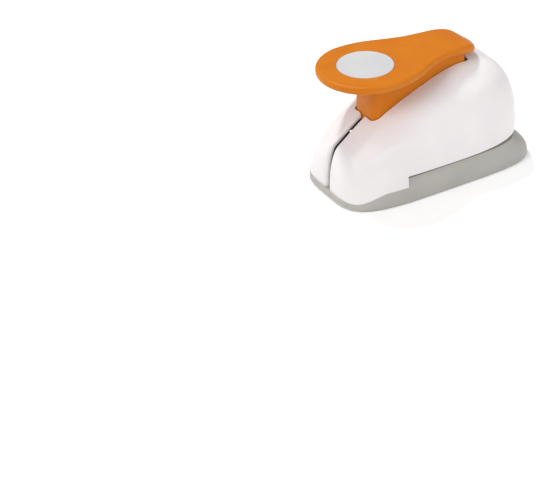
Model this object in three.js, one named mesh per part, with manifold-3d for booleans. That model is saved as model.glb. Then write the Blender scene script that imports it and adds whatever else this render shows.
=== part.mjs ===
// A lever-type craft punch that cuts a one inch round out of paper.
// Millimetres, +Z up, +X from the nose under the thumb pad to the tall tail end where the paper goes in.
// The origin is the middle of the underside. The object is alike on both sides of the plane y = 0.
import * as THREE from 'three';
import { mergeVertices } from 'three/addons/utils/BufferGeometryUtils.js';
import Module from 'manifold-3d';

const wasm = await Module();
wasm.setup();

// The cut, and the reach of the foot round it: ahead of it, behind it and to each side
const cutDiameter = 25.4;
const noseReach = 33.3;
const tailReach = 41.3;
const flankReach = 14.3;

// The grey foot
const footNoseExponent = 4;
const footTailExponent = 4.6;
const footEdgeRound = 0.8;
const footDraft = 0.25;
const noseTopHeight = 3.4;
const ledgeHeight = 8.1;
const ledgeNoseInset = 1.5;
const ledgeRiseShare = 0.66;
const shoulderFall = 4.6;
const shoulderRound = 0.8;
const tableHeight = 12;
const tableSideInset = 2.2;
const tableTailInset = 6;
const stepFromCut = 5.3;
const slopeMiddleShare = 0.4;
const slopeRiseShare = 0.62;
const footWall = 2.4;
const footRibWidth = 1.4;
const footRibSpacing = 8.5;
const footRoofHeight = 8;
const windowWall = 2;

// The white housing, two moulded halves
const paperGap = 1.5;
const housingNoseInset = 1.1;
const housingTailInset = 3.9;
const housingSideInset = 0.6;
const noseExponentBelow = 4.4;
const noseExponentAbove = 2.2;
const tailExponentBelow = 2.9;
const tailExponentAbove = 5;
const noseRounding = 2.34;
const tailRounding = 3;
const housingWall = 2.3;
const wallStraightTo = 3;
const ridgeNoseInset = 5.2;
const ridgeTailInset = 29.2;
const noseCrownHeight = 25;
const slotFrontHeight = 35.4;
const slotMiddleHeight = 47;
const crownHeight = 52.2;
const noseGroove = 1.6;
const partingGap = 0.2;
const stepGap = 0.3;
const slotClearance = 0.35;
const slotFrontClearance = 0.5;
const slotTailClearance = 1.2;

// The orange lever
const padRadius = 21.9;
const padNoseOverhang = 0.15;
const padAboveCrown = 7.4;
const plateThickness = 3.7;
const humpAboveCrown = 8.5;
const humpAheadOfPivot = 6.4;
const humpHalfWidth = 11.6;
const tailTipBehindHump = 18.9;
const tailTipDrop = 4.1;
const tailTipThickness = 2.2;
const plateEdgeRound = 1.3;
const skirtWidth = 16.8;
const skirtWall = 2;
const skirtFrontBehindNose = 20.8;
const skirtCornerRound = 3.6;
const skirtBelowSlot = 4.4;
const skirtToe = 6;
const skirtWaistFromCut = 8;
const skirtBelowPin = 5;
const underHollow = 1.1;
const underRim = 2;
const underRib = 1.4;
const underRibSpacing = 8.4;
const skirtEyeRadius = 4;
const padFlatShare = 0.65;
const topFallShares = [[0.42, 0.1], [0.72, 0.36]];
const bottomFallShares = [[0.45, 0.22], [0.75, 0.55]];
const outlineShares = [0.52, 0.63, 1.04, 0.17, 0.68, 0.97, 0.78];
const badgeThickness = 1.4;
const badgeProud = 0.25;
const badgeGap = 0.12;
const badgeEdgeRound = 0.35;

// The cutting set
const cutGap = 0.08;
const cutterRestAboveRoof = 1.1;
const cutterHeight = 7;
const cutterHollow = 0.8;
const windowMargin = 1.5;
const dieThickness = 1.4;
const guideThickness = 2;
const setSideLand = 5.9;
const setCornerRound = 3;
const setFromNose = 14.5;
const dieTailLand = 8.3;
const guideTailLand = 15.3;
const spacerLength = 10;
const spacerHalfWidth = 15;
const neckWall = 0.9;

// The pivot of the lever
const pivotBehindCut = 19;
const pivotBelowCrown = 8.2;
const pivotDiameter = 5;
const pivotLength = 27;
const pivotEndGap = 0.3;
const pivotBossRadius = 5.4;
const washerThickness = 0.5;
const washerGap = 0.15;
const washerRadius = 4.6;
const runningGap = 0.08;
const pinChamfer = 0.4;

// The plunger
const drivePinDiameter = 4;
const drivePinBelowPivot = 2.5;
const driveSlotGap = 0.25;
const driveSlotSpare = 0.9;
const driveSlotShift = 0.5;
const stemLength = 11;
const stemSideGap = 0.5;
const stemOverPin = 3.6;
const stemCornerRound = 1;
const carrierDiscHeight = 3;
const carrierDiscInset = 0.5;
const wingThickness = 3.5;
const wingRadius = 3.1;
const wingGap = 0.3;
const cutterScrewFromAxis = 8.6;

// The posts and return springs
const springFromCutter = 0.9;
const springLength = 11.5;
const postDiameter = 3;
const postAboveWing = 3.5;
const postGap = 0.15;
const springRadius = 3;
const springWire = 0.8;
const springTurns = 5;
const springDeadTurns = 1;
const springSeat = 0.1;

// The screws and rivets
const screwGap = 0.1;
const headGap = 0.3;
const seatGap = 0.1;
const footScrew = { diameter: 2.6, head: 5, headHeight: 1.8, length: 14, sink: 1.2, bossRadius: 3.2 };
const postEndWall = 1.6;
const footScrewFromNose = 8.5;
const footScrewSideShare = 0.5;
const dieScrew = { diameter: 2.4, head: 4.6, headHeight: 1.7, length: 7.8, bossRadius: 3.4 };
const dieScrewInset = 4;
const cutterScrew = { diameter: 2, head: 3.8, headHeight: 1.4, length: 6.5 };
const housingScrew = { diameter: 2.4, head: 4.6, headHeight: 1.7, length: 13, seatY: 6, bossRadius: 3.7 };
const housingScrewLand = 2.3;
const tailScrewLand = 5;
const tailScrewInset = 9.6;
const tailScrewRise = 5.6;
const rivet = { diameter: 3, head: 5, headHeight: 0.9 };
const rivetY = 7;
const recessShare = 0.55;
const recessReachShare = 0.3;
const recessWidthShare = 0.07;
const railHeight = 2;
const railDepth = 1.6;
const railReach = 14;
const railBreak = 5;

// Fineness of the round forms, and how far a cut runs past what it cuts
const ringPoints = 48;
const domeSteps = 9;
const innerDomeSteps = 5;
const cutSides = 40;
const pinSides = 20;
const smallSides = 12;
const curveSteps = 6;
const leverSteps = 9;
const overrun = 1;

const paint = (color, roughness, metalness) => new THREE.MeshStandardMaterial({ color, roughness, metalness });
const orangePlastic = paint(0xe2852a, 0.38, 0);
const whitePlastic = paint(0xebe6e5, 0.42, 0);
const greyPlastic = paint(0xafada6, 0.5, 0);
const palePlastic = paint(0xdadada, 0.45, 0);
const naturalNylon = paint(0xe8e4d6, 0.55, 0);
const blackPlastic = paint(0x2c2c2e, 0.5, 0);
const steel = paint(0xb4b6b9, 0.3, 1);
const springSteel = paint(0x8f9296, 0.35, 1);

// Places and sizes that several pieces share
const cutRadius = cutDiameter / 2;
const footLength = noseReach + cutDiameter + tailReach;
const footWidth = cutDiameter + 2 * flankReach;
const footNoseX = -footLength / 2;
const footTailX = footLength / 2;
const footHalfWidth = footWidth / 2;
const cutX = footNoseX + noseReach + cutRadius;
const stepX = cutX - cutRadius - stepFromCut;
const ledgeStart = footNoseX + ledgeNoseInset;
const ledgeEnd = ledgeStart + (stepX - ledgeStart) * ledgeRiseShare;
const setHalfWidth = cutRadius + setSideLand;
const setNoseX = footNoseX + setFromNose;
const dieTailX = cutX + cutRadius + dieTailLand;
const guideTailX = cutX + cutRadius + guideTailLand;
const pivotX = cutX + pivotBehindCut;
const pivotHeight = crownHeight - pivotBelowCrown;
const drivePinHeight = pivotHeight - drivePinBelowPivot;
const padTop = crownHeight + padAboveCrown;
const humpTop = crownHeight + humpAboveCrown;
const housingNoseX = footNoseX + housingNoseInset;
const housingTailX = footTailX - housingTailInset;
const housingHalfWidth = footHalfWidth - housingSideInset;
const ridgeNoseX = housingNoseX + ridgeNoseInset;
const ridgeTailX = housingTailX - ridgeTailInset;
const padX = footNoseX + padNoseOverhang + padRadius;
const humpX = pivotX - humpAheadOfPivot;
const tailTipX = humpX + tailTipBehindHump;
const skirtHalfWidth = skirtWidth / 2;
const skirtFrontX = footNoseX + skirtFrontBehindNose;
const skirtTailX = pivotX + skirtEyeRadius;
const skirtFrontBottom = slotFrontHeight - skirtBelowSlot;
const skirtWaistX = cutX - skirtWaistFromCut;
const skirtWaistBottom = drivePinHeight - skirtBelowPin;
const stemWidth = 2 * (skirtHalfWidth - skirtWall - stemSideGap);
const slotHalfWidth = skirtHalfWidth + slotClearance;
const slotFrontX = skirtFrontX - slotFrontClearance;
const slotTailX = skirtTailX + slotTailClearance;
const roofHeight = tableHeight + paperGap;
const dieBottom = tableHeight - dieThickness;
const guideTop = roofHeight + guideThickness;
const dieScrewSink = tableHeight - 2 * seatGap - dieScrew.length;
const cutHoleRadius = cutRadius + cutGap;
const cutterBottom = roofHeight + cutterRestAboveRoof;
const cutterTop = cutterBottom + cutterHeight;
const carrierBottom = cutterTop + seatGap;
const carrierDiscTop = carrierBottom + carrierDiscHeight;
const pivotRadius = pivotDiameter / 2;
const pivotBoreRadius = pivotRadius + runningGap;
const drivePinRadius = drivePinDiameter / 2;
const postRadius = postDiameter / 2;
const postY = cutRadius + springFromCutter + springRadius + springWire / 2;
const wingBottom = guideTop + springLength;
const wingTop = wingBottom + wingThickness;
const postTop = wingTop + postAboveWing;
const windowRadius = cutRadius + windowMargin;
const housingScrewFace = housingScrew.seatY + housingScrew.headHeight;
const cutterScrewFace = carrierDiscTop + seatGap + cutterScrew.headHeight;

// A geometry as a solid for joining and cutting: equal corners merged, empty faces left out, and the
// faces turned outwards whichever way the form was drawn.
function solidOf(geometry) {
  const bare = new THREE.BufferGeometry();
  bare.setAttribute('position', geometry.getAttribute('position'));
  bare.setIndex(geometry.getIndex());
  const merged = mergeVertices(bare);
  const points = merged.getAttribute('position').array;
  const index = merged.getIndex().array;
  const corner = (i) => new THREE.Vector3().fromArray(points, 3 * i);
  const kept = [];
  let volume = 0;
  for (let i = 0; i < index.length; i += 3) {
    const [a, b, c] = [index[i], index[i + 1], index[i + 2]];
    if (a !== b && b !== c && a !== c) {
      kept.push([a, b, c]);
      volume += corner(a).dot(corner(b).cross(corner(c)));
    }
  }
  const triVerts = new Uint32Array(kept.flatMap(([a, b, c]) => (volume < 0 ? [a, c, b] : [a, b, c])));
  return new wasm.Manifold(new wasm.Mesh({ numProp: 3, vertProperties: new Float32Array(points), triVerts }));
}

function geometryOf(solid) {
  const { vertProperties, triVerts } = solid.getMesh();
  const indexed = new THREE.BufferGeometry();
  indexed.setAttribute('position', new THREE.BufferAttribute(new Float32Array(vertProperties), 3));
  indexed.setIndex(new THREE.BufferAttribute(new Uint32Array(triVerts), 1));
  const geometry = indexed.toNonIndexed();
  geometry.computeVertexNormals();
  return geometry;
}

const joined = (solids) => solids.reduce((sum, solid) => sum.add(solid));
const bothSides = (make) => [-1, 1].map(make);

// A turned solid standing upright at a place. Its profile holds distances from the axis and heights.
function turned(x, y, profile, sides = smallSides) {
  const geometry = new THREE.LatheGeometry(profile.map(([r, z]) => new THREE.Vector2(r, z)), sides);
  geometry.rotateX(Math.PI / 2);
  geometry.translate(x, y, 0);
  return solidOf(geometry);
}

// The same, lying along y
function turnedAcross(x, z, profile, sides = smallSides) {
  const geometry = new THREE.LatheGeometry(profile.map(([r, y]) => new THREE.Vector2(r, y)), sides);
  geometry.translate(x, 0, z);
  return solidOf(geometry);
}

const cylinderProfile = (radius, from, to) => [[0, from], [radius, from], [radius, to], [0, to]];
const post = (x, y, radius, low, high, sides) => turned(x, y, cylinderProfile(radius, low, high), sides);
const rod = (x, z, radius, from, to, sides) => turnedAcross(x, z, cylinderProfile(radius, from, to), sides);

const pinProfile = (radius, from, to) => [
  [0, from],
  [radius - pinChamfer, from],
  [radius, from + pinChamfer],
  [radius, to - pinChamfer],
  [radius - pinChamfer, to],
  [0, to],
];

// A block between two corners
function block(low, high) {
  const [x, y, z] = high.map((value, i) => value - low[i]);
  const geometry = new THREE.BoxGeometry(x, y, z);
  geometry.translate(low[0] + x / 2, low[1] + y / 2, low[2] + z / 2);
  return solidOf(geometry);
}

// A flat outline in x and y, raised from one height to another
function raised(shape, low, high) {
  const options = { depth: high - low, bevelEnabled: false, curveSegments: curveSteps };
  const geometry = new THREE.ExtrudeGeometry(shape, options);
  geometry.translate(0, 0, low);
  return solidOf(geometry);
}

// A flat outline in x and z, drawn out along y to both sides of the middle
function drawnAcross(shape, halfWidth) {
  const options = { depth: 2 * halfWidth, bevelEnabled: false, curveSegments: curveSteps };
  const geometry = new THREE.ExtrudeGeometry(shape, options);
  geometry.rotateX(Math.PI / 2);
  geometry.translate(0, halfWidth, 0);
  return solidOf(geometry);
}

// A rectangle in x and y with rounded corners, which can be of another radius at the tail
function roundedPlate(noseX, tailX, halfWidth, noseRound, tailRound = noseRound) {
  const shape = new THREE.Shape();
  shape.absarc(tailX - tailRound, halfWidth - tailRound, tailRound, 0, Math.PI / 2);
  shape.absarc(noseX + noseRound, halfWidth - noseRound, noseRound, Math.PI / 2, Math.PI);
  shape.absarc(noseX + noseRound, -halfWidth + noseRound, noseRound, Math.PI, 1.5 * Math.PI);
  shape.absarc(tailX - tailRound, -halfWidth + tailRound, tailRound, 1.5 * Math.PI, 2 * Math.PI);
  return shape;
}

// Such a rectangle about the axis of the cut
const upright = (halfX, halfY, round) => roundedPlate(cutX - halfX, cutX + halfX, halfY, round);

// A closed skin through stacked rings. Each ring starts at the nose and runs to the tail on one side and
// back on the other, so the ends are closed by strips across from side to side.
function skinOf(rings) {
  const count = rings[0].length;
  const index = [];
  const quad = (a, b, c, d) => index.push(a, b, c, a, c, d);
  for (let k = 0; k + 1 < rings.length; k += 1) {
    for (let i = 0; i < count; i += 1) {
      const next = (i + 1) % count;
      quad(k * count + i, k * count + next, (k + 1) * count + next, (k + 1) * count + i);
    }
  }
  const top = (rings.length - 1) * count;
  for (let i = 0; i < count / 2; i += 1) {
    const across = (count - i) % count;
    const nextAcross = count - i - 1;
    quad(top + i, top + i + 1, top + nextAcross, top + across);
    quad(i, across, nextAcross, i + 1);
  }
  const geometry = new THREE.BufferGeometry();
  const positions = rings.flat().flatMap(({ x, y, z }) => [x, y, z]);
  geometry.setAttribute('position', new THREE.Float32BufferAttribute(positions, 3));
  geometry.setIndex(index);
  return solidOf(geometry);
}

// A superellipse in plan, with its own exponent at each end, moved inwards along its normals by an inset
function planRing({ noseX, tailX, halfWidth, noseExponent, tailExponent }, inset) {
  const middle = (noseX + tailX) / 2;
  const half = (tailX - noseX) / 2;
  return Array.from({ length: ringPoints }, (_, i) => {
    const turn = Math.PI + (2 * Math.PI * i) / ringPoints;
    const onPlane = i % (ringPoints / 2) === 0;
    const exponent = Math.cos(turn) < 0 ? noseExponent : tailExponent;
    const along = Math.abs(Math.cos(turn)) ** (2 / exponent) * Math.sign(Math.cos(turn));
    const across = onPlane ? 0 : Math.abs(Math.sin(turn)) ** (2 / exponent) * Math.sign(Math.sin(turn));
    const normal = new THREE.Vector2(
      (Math.abs(along) ** (exponent - 1) * Math.sign(along)) / half,
      (Math.abs(across) ** (exponent - 1) * Math.sign(across)) / halfWidth,
    ).setLength(inset);
    return { x: middle + half * along - normal.x, y: halfWidth * across - normal.y };
  });
}

// A smooth line through points of rising x, flat at its ends and at each crest
function smoothLine(points) {
  const slopeAt = (i) => {
    if (i === 0 || i === points.length - 1) return 0;
    const [before, here, after] = [points[i - 1], points[i], points[i + 1]];
    const rises = (here[1] - before[1]) * (after[1] - here[1]) > 0;
    return rises ? (after[1] - before[1]) / (after[0] - before[0]) : 0;
  };
  return (x) => {
    const last = points.length - 2;
    const i = Math.min(last, Math.max(0, points.findIndex((p) => p[0] > x) - 1));
    const from = x >= points[last + 1][0] ? last : i;
    const [x0, z0] = points[from];
    const [x1, z1] = points[from + 1];
    const span = x1 - x0;
    const t = Math.min(1, Math.max(0, (x - x0) / span));
    const ease = t * t * (3 - 2 * t);
    const start = t * (1 - t) * (1 - t) * span * slopeAt(from);
    const end = t * t * (1 - t) * span * slopeAt(from + 1);
    return z0 + (z1 - z0) * ease + start - end;
  };
}

const footPlan = {
  noseX: footNoseX,
  tailX: footTailX,
  halfWidth: footHalfWidth,
  noseExponent: footNoseExponent,
  tailExponent: footTailExponent,
};
const tablePlan = {
  ...footPlan,
  noseX: footNoseX + tableSideInset,
  tailX: footTailX - tableTailInset,
  halfWidth: footHalfWidth - tableSideInset,
};

// The ledge under the housing's nose: low in front, rising in an S to the step
const ledgeAt = smoothLine([[ledgeStart, noseTopHeight], [ledgeEnd, ledgeHeight]]);

// The shoulder of the foot's side wall follows the ledge, and falls gently from the step to the tail
const shoulderDropAt = smoothLine([[stepX, 0], [footTailX, shoulderFall]]);
const shoulderAt = (x) => ledgeAt(x) - shoulderDropAt(x);

// The side outline of all that lies below the ledge in front of the step and below a table behind it
function sideOutline({ lift, faceGap, table, floor }) {
  const shape = new THREE.Shape();
  shape.moveTo(footNoseX - overrun, floor);
  shape.lineTo(footTailX + overrun, floor);
  shape.lineTo(footTailX + overrun, table);
  shape.lineTo(stepX - faceGap, table);
  shape.lineTo(stepX - faceGap, ledgeHeight + lift);
  for (let i = 0; i <= curveSteps; i += 1) {
    const x = ledgeEnd + ((ledgeStart - ledgeEnd) * i) / curveSteps;
    shape.lineTo(x, ledgeAt(x) + lift);
  }
  shape.lineTo(footNoseX - overrun, noseTopHeight + lift);
  return shape;
}

const footScrewPlaces = bothSides((side) => [
  footNoseX + footScrewFromNose,
  side * footHalfWidth * footScrewSideShare,
]);
const dieScrewPlaces = bothSides((side) => side * (setHalfWidth - dieScrewInset)).flatMap((y) => [
  [setNoseX + dieScrewInset, y],
  [dieTailX - dieScrewInset, y],
]);
const rivetPlaces = bothSides((side) => [setNoseX + dieScrewInset, side * rivetY]);
const cutterScrewPlaces = bothSides((side) => [cutX + side * cutterScrewFromAxis, 0]);
const housingScrewPlaces = [
  [slotFrontX - housingScrewLand - housingScrew.bossRadius, noseCrownHeight - housingScrew.bossRadius],
  [slotTailX + tailScrewLand + housingScrew.bossRadius, drivePinHeight],
  [housingTailX - tailScrewInset, guideTop + tailScrewRise],
];

// A pan-headed screw from the face of its head, its point away from the head. Towards is 1 or -1.
const screwProfile = ({ diameter, head, headHeight, length }, face, towards) => [
  [0, face],
  [head / 2 - headHeight / 4, face],
  [head / 2, face + (towards * headHeight) / 3],
  [head / 2, face + towards * headHeight],
  [diameter / 2, face + towards * headHeight],
  [diameter / 2, face + towards * (length - diameter / 2)],
  [0, face + towards * length],
];

// The way in for a screw: a wide hole for the head, from an open end, and a narrow one for the shank
const screwHoleProfile = ({ diameter, head, headHeight }, open, face, end, towards) => [
  [0, open],
  [head / 2 + headGap, open],
  [head / 2 + headGap, face + towards * (headHeight + seatGap)],
  [diameter / 2 + screwGap, face + towards * (headHeight + seatGap)],
  [diameter / 2 + screwGap, end],
  [0, end],
];

// The cross in a screw's head, about the middle of the head's face, which looks along one of the axes
function crossRecess({ head, headHeight }, centre, axis) {
  const bar = (long) => {
    const half = [0, 1, 2].map((i) => {
      if (i === axis) return headHeight * recessShare;
      return i === long ? head * recessReachShare : head * recessWidthShare;
    });
    return block(centre.map((c, i) => c - half[i]), centre.map((c, i) => c + half[i]));
  };
  return joined([0, 1, 2].filter((i) => i !== axis).map(bar));
}

// The foot: a tray with a hollow underside and, behind the step, the raised table that the paper lies on
function footSolid() {
  const ring = (inset, heightAt) => planRing(footPlan, inset).map((p) => ({ ...p, z: heightAt(p.x) }));
  const shoulder = ring(footDraft + shoulderRound, shoulderAt);
  const tableEdge = planRing(tablePlan, 0).map((p) => ({ ...p, z: tableHeight }));
  const slopeTo = (share, riseShare) => shoulder.map((p, i) => ({
    x: p.x + (tableEdge[i].x - p.x) * share,
    y: p.y + (tableEdge[i].y - p.y) * share,
    z: p.z + (tableEdge[i].z - p.z) * riseShare,
  }));
  const outer = skinOf([
    ring(footEdgeRound, () => 0),
    ring(0, () => footEdgeRound),
    ring(footDraft, (x) => shoulderAt(x) - shoulderRound),
    shoulder,
    slopeTo(slopeMiddleShare, slopeRiseShare),
    tableEdge,
  ]);
  const below = drawnAcross(
    sideOutline({ lift: 0, faceGap: 0, table: tableHeight, floor: -overrun }),
    footWidth,
  );
  const neckHalfWidth = setHalfWidth + headGap + neckWall;
  const neck = block(
    [setNoseX - headGap - neckWall, -neckHalfWidth, 0],
    [stepX + overrun, neckHalfWidth, tableHeight],
  );
  const bed = roundedPlate(setNoseX - headGap, dieTailX + headGap, setHalfWidth + headGap, setCornerRound);
  return outer.intersect(below.add(neck))
    .subtract(footHollows())
    .subtract(raised(bed, dieBottom - seatGap, tableHeight + overrun))
    .subtract(post(cutX, 0, windowRadius, -overrun, tableHeight, pinSides))
    .subtract(joined(footScrewPlaces.map(([x, y]) => turned(x, y,
      screwHoleProfile(footScrew, -overrun, footScrew.sink, tableHeight, 1)))))
    .subtract(joined(dieScrewPlaces.map(([x, y]) => turned(x, y,
      screwHoleProfile(dieScrew, -overrun, dieScrewSink, tableHeight + overrun, 1)))))
    .subtract(joined(rivetPlaces.map(([x, y]) => post(x, y, rivet.head / 2 + headGap,
      dieBottom - rivet.headHeight - headGap, tableHeight))));
}

// The hollows of the underside. Ribs, screw bosses and the wall round the chip window stay standing.
function footHollows() {
  const ring = planRing({ ...footPlan, tailX: footTailX - tableTailInset }, footWall);
  const inner = skinOf([-overrun, footRoofHeight].map((z) => ring.map((p) => ({ ...p, z }))));
  const underSkin = drawnAcross(
    sideOutline({ lift: -footWall, faceGap: 0, table: footRoofHeight, floor: -2 * overrun }),
    footWidth,
  );
  const rib = footRibWidth / 2;
  const tailRibs = Math.max(1, Math.round((footTailX - tableTailInset - dieTailX) / footRibSpacing) - 1);
  const crossRibs = [setNoseX - footWall, stepX, dieTailX + footWall,
    ...Array.from({ length: tailRibs }, (_, i) => dieTailX + footWall + (i + 1) * footRibSpacing)];
  const longRibs = [-1.5, -0.5, 0.5, 1.5].map((count) => count * footRibSpacing);
  const standing = joined([
    ...crossRibs.map((x) => block([x - rib, -footWidth, -2 * overrun], [x + rib, footWidth, tableHeight])),
    ...longRibs.map((y) => block([-footLength, y - rib, -2 * overrun], [footLength, y + rib, tableHeight])),
    ...footScrewPlaces.map(([x, y]) => post(x, y, footScrew.bossRadius, -2 * overrun, tableHeight)),
    ...dieScrewPlaces.map(([x, y]) => post(x, y, dieScrew.bossRadius, -2 * overrun, tableHeight)),
    post(cutX, 0, windowRadius + windowWall, -2 * overrun, tableHeight, pinSides),
  ]);
  return inner.intersect(underSkin).subtract(standing);
}

// The line of the housing's ridge, before the slot is cut into it
const ridgeSlope = (slotMiddleHeight - noseCrownHeight) / ((slotFrontX + slotTailX) / 2 - ridgeNoseX);
const ridgeAt = smoothLine([
  [ridgeNoseX - ridgeNoseInset, noseCrownHeight - ridgeSlope * ridgeNoseInset],
  [ridgeNoseX, noseCrownHeight],
  [slotFrontX, slotFrontHeight],
  [(slotFrontX + slotTailX) / 2, slotMiddleHeight],
  [ridgeTailX, crownHeight],
  [housingTailX, crownHeight],
]);

// The housing's body as a dome: from each point of its plan outline a superellipse rises to the ridge.
// The outline itself turns from a blunt nose and a round tail below to a round nose and a blunt tail above.
function domeSolid(inset, steps, floor) {
  const outlineAt = (share) => planRing({
    noseX: housingNoseX,
    tailX: housingTailX,
    halfWidth: housingHalfWidth,
    noseExponent: noseExponentBelow + (noseExponentAbove - noseExponentBelow) * share,
    tailExponent: tailExponentBelow + (tailExponentAbove - tailExponentBelow) * share,
  }, inset);
  const noseEnd = ridgeNoseX + inset / 2;
  const tailEnd = ridgeTailX;
  const rings = [outlineAt(0).map((p) => ({ ...p, z: floor }))];
  for (let k = 0; k <= steps; k += 1) {
    const turn = (Math.PI / 2) * (k / steps);
    rings.push(outlineAt(k / steps).map((p) => {
      const ridgeX = Math.min(tailEnd, Math.max(noseEnd, p.x));
      const rounding = noseRounding + ((tailRounding - noseRounding) * (ridgeX - noseEnd)) / (tailEnd - noseEnd);
      const reach = k === steps ? 0 : Math.cos(turn) ** (2 / rounding);
      const rise = Math.sin(turn) ** (2 / rounding);
      const x = ridgeX + (p.x - ridgeX) * reach;
      return { x, y: p.y * reach, z: wallStraightTo + (ridgeAt(x) - inset - wallStraightTo) * rise };
    }));
  }
  return skinOf(rings);
}

// Both halves of the housing in one, before they are parted
function housingSolid() {
  const floor = -2 * overrun;
  const outer = domeSolid(0, domeSteps, floor);
  const bossFace = skirtHalfWidth + washerThickness + 2 * washerGap;
  const farSide = 2 * housingHalfWidth;
  const bosses = [
    ...bothSides((side) => rod(pivotX, pivotHeight, pivotBossRadius, side * bossFace, side * farSide, pinSides)),
    ...footScrewPlaces.map(([x, y]) => post(x, y, footScrew.bossRadius, 0,
      footScrew.sink + footScrew.length + postEndWall)),
    ...housingScrewPlaces.map(([x, z]) => rod(x, z, housingScrew.bossRadius, -farSide, farSide)),
    ...bothSides((side) => {
      const edges = [side * (setHalfWidth - railDepth), side * farSide];
      const rail = (from, to) => block([from, Math.min(...edges), guideTop + seatGap],
        [to, Math.max(...edges), guideTop + seatGap + railHeight]);
      return rail(cutX - railReach, cutX - railBreak).add(rail(cutX + railBreak, guideTailX));
    }),
  ];
  const shell = outer.subtract(domeSolid(housingWall, innerDomeSteps, floor - overrun));
  const underside = sideOutline({ lift: seatGap, faceGap: stepGap, table: roofHeight, floor: floor - overrun });
  const slot = roundedPlate(slotFrontX, slotTailX, slotHalfWidth, skirtCornerRound, slotTailClearance);
  return shell.add(joined(bosses).intersect(outer))
    .subtract(drawnAcross(underside, footWidth))
    .subtract(raised(slot, guideTop + 2 * railHeight, 2 * humpTop))
    .subtract(rod(pivotX, pivotHeight, washerRadius + washerGap, -bossFace, bossFace, pinSides))
    .subtract(rod(pivotX, pivotHeight, pivotBoreRadius, -pivotLength / 2 - pivotEndGap,
      pivotLength / 2 + pivotEndGap, pinSides))
    .subtract(joined(footScrewPlaces.map(([x, y]) => post(x, y, footScrew.diameter / 2 + screwGap,
      0, footScrew.sink + footScrew.length + seatGap))))
    .subtract(joined(housingScrewPlaces.map(([x, z]) => turnedAcross(x, z, screwHoleProfile(housingScrew,
      farSide, housingScrewFace, housingScrewFace - housingScrew.length - seatGap, -1)))))
    .subtract(raised(upright(wingRadius + wingGap, postY + wingRadius + wingGap, wingRadius + wingGap),
      carrierDiscTop, wingTop + wingGap))
    .subtract(block([housingNoseX - overrun, -noseGroove / 2, 0], [slotFrontX + overrun, noseGroove / 2, humpTop]));
}

function housingHalf(whole, side) {
  const edges = [(side * partingGap) / 2, side * footWidth];
  return whole.intersect(block([-footLength, Math.min(...edges), -footLength],
    [footLength, Math.max(...edges), footLength]));
}

// The lever's outline from the nose of the pad to the tip of the tail, on the side of positive y
function leverOutline() {
  const path = new THREE.Path();
  const [padPull, waistPull, waistSide, waistAt, tailPull, tailSide, tipSide] = outlineShares;
  const reach = humpX - padX;
  path.absarc(padX, 0, padRadius, Math.PI, Math.PI / 2, true);
  path.bezierCurveTo(padX + reach * padPull, padRadius, padX + reach * waistPull, humpHalfWidth * waistSide,
    humpX + tailTipBehindHump * waistAt, humpHalfWidth);
  path.bezierCurveTo(humpX + tailTipBehindHump * tailPull, humpHalfWidth * tailSide, tailTipX,
    humpHalfWidth * tipSide, tailTipX, 0);
  return path.getPoints(leverSteps);
}

const plateLine = (thickness, tipThickness, fallShares) => smoothLine([
  [padX - padRadius, padTop - thickness],
  [padX + padRadius * padFlatShare, padTop - thickness],
  [humpX, humpTop - thickness],
  ...fallShares.map(([along, fall]) => [
    humpX + tailTipBehindHump * along,
    humpTop - thickness - tailTipDrop * fall,
  ]),
  [tailTipX, humpTop - tailTipDrop - tipThickness],
]);
const plateTopAt = plateLine(0, 0, topFallShares);
const plateBottomAt = plateLine(plateThickness, tailTipThickness, bottomFallShares);

// The outline as a full ring, moved inwards along its normals
function leverRing(inset, heightAt) {
  const half = leverOutline();
  const last = half.length - 1;
  const shifted = half.map((p, i) => {
    const before = i === 0 ? { x: half[1].x, y: -half[1].y } : half[i - 1];
    const after = i === last ? { x: half[last - 1].x, y: -half[last - 1].y } : half[i + 1];
    const normal = new THREE.Vector2(before.y - after.y, after.x - before.x).setLength(inset);
    const onPlane = i === 0 || i === last;
    return { x: p.x - normal.x, y: onPlane ? 0 : p.y - normal.y };
  });
  const near = shifted.map(({ x, y }) => ({ x, y: -y }));
  const far = shifted.slice(1, last).reverse();
  return [...near, ...far].map((p) => ({ ...p, z: heightAt(p.x) }));
}

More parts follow.
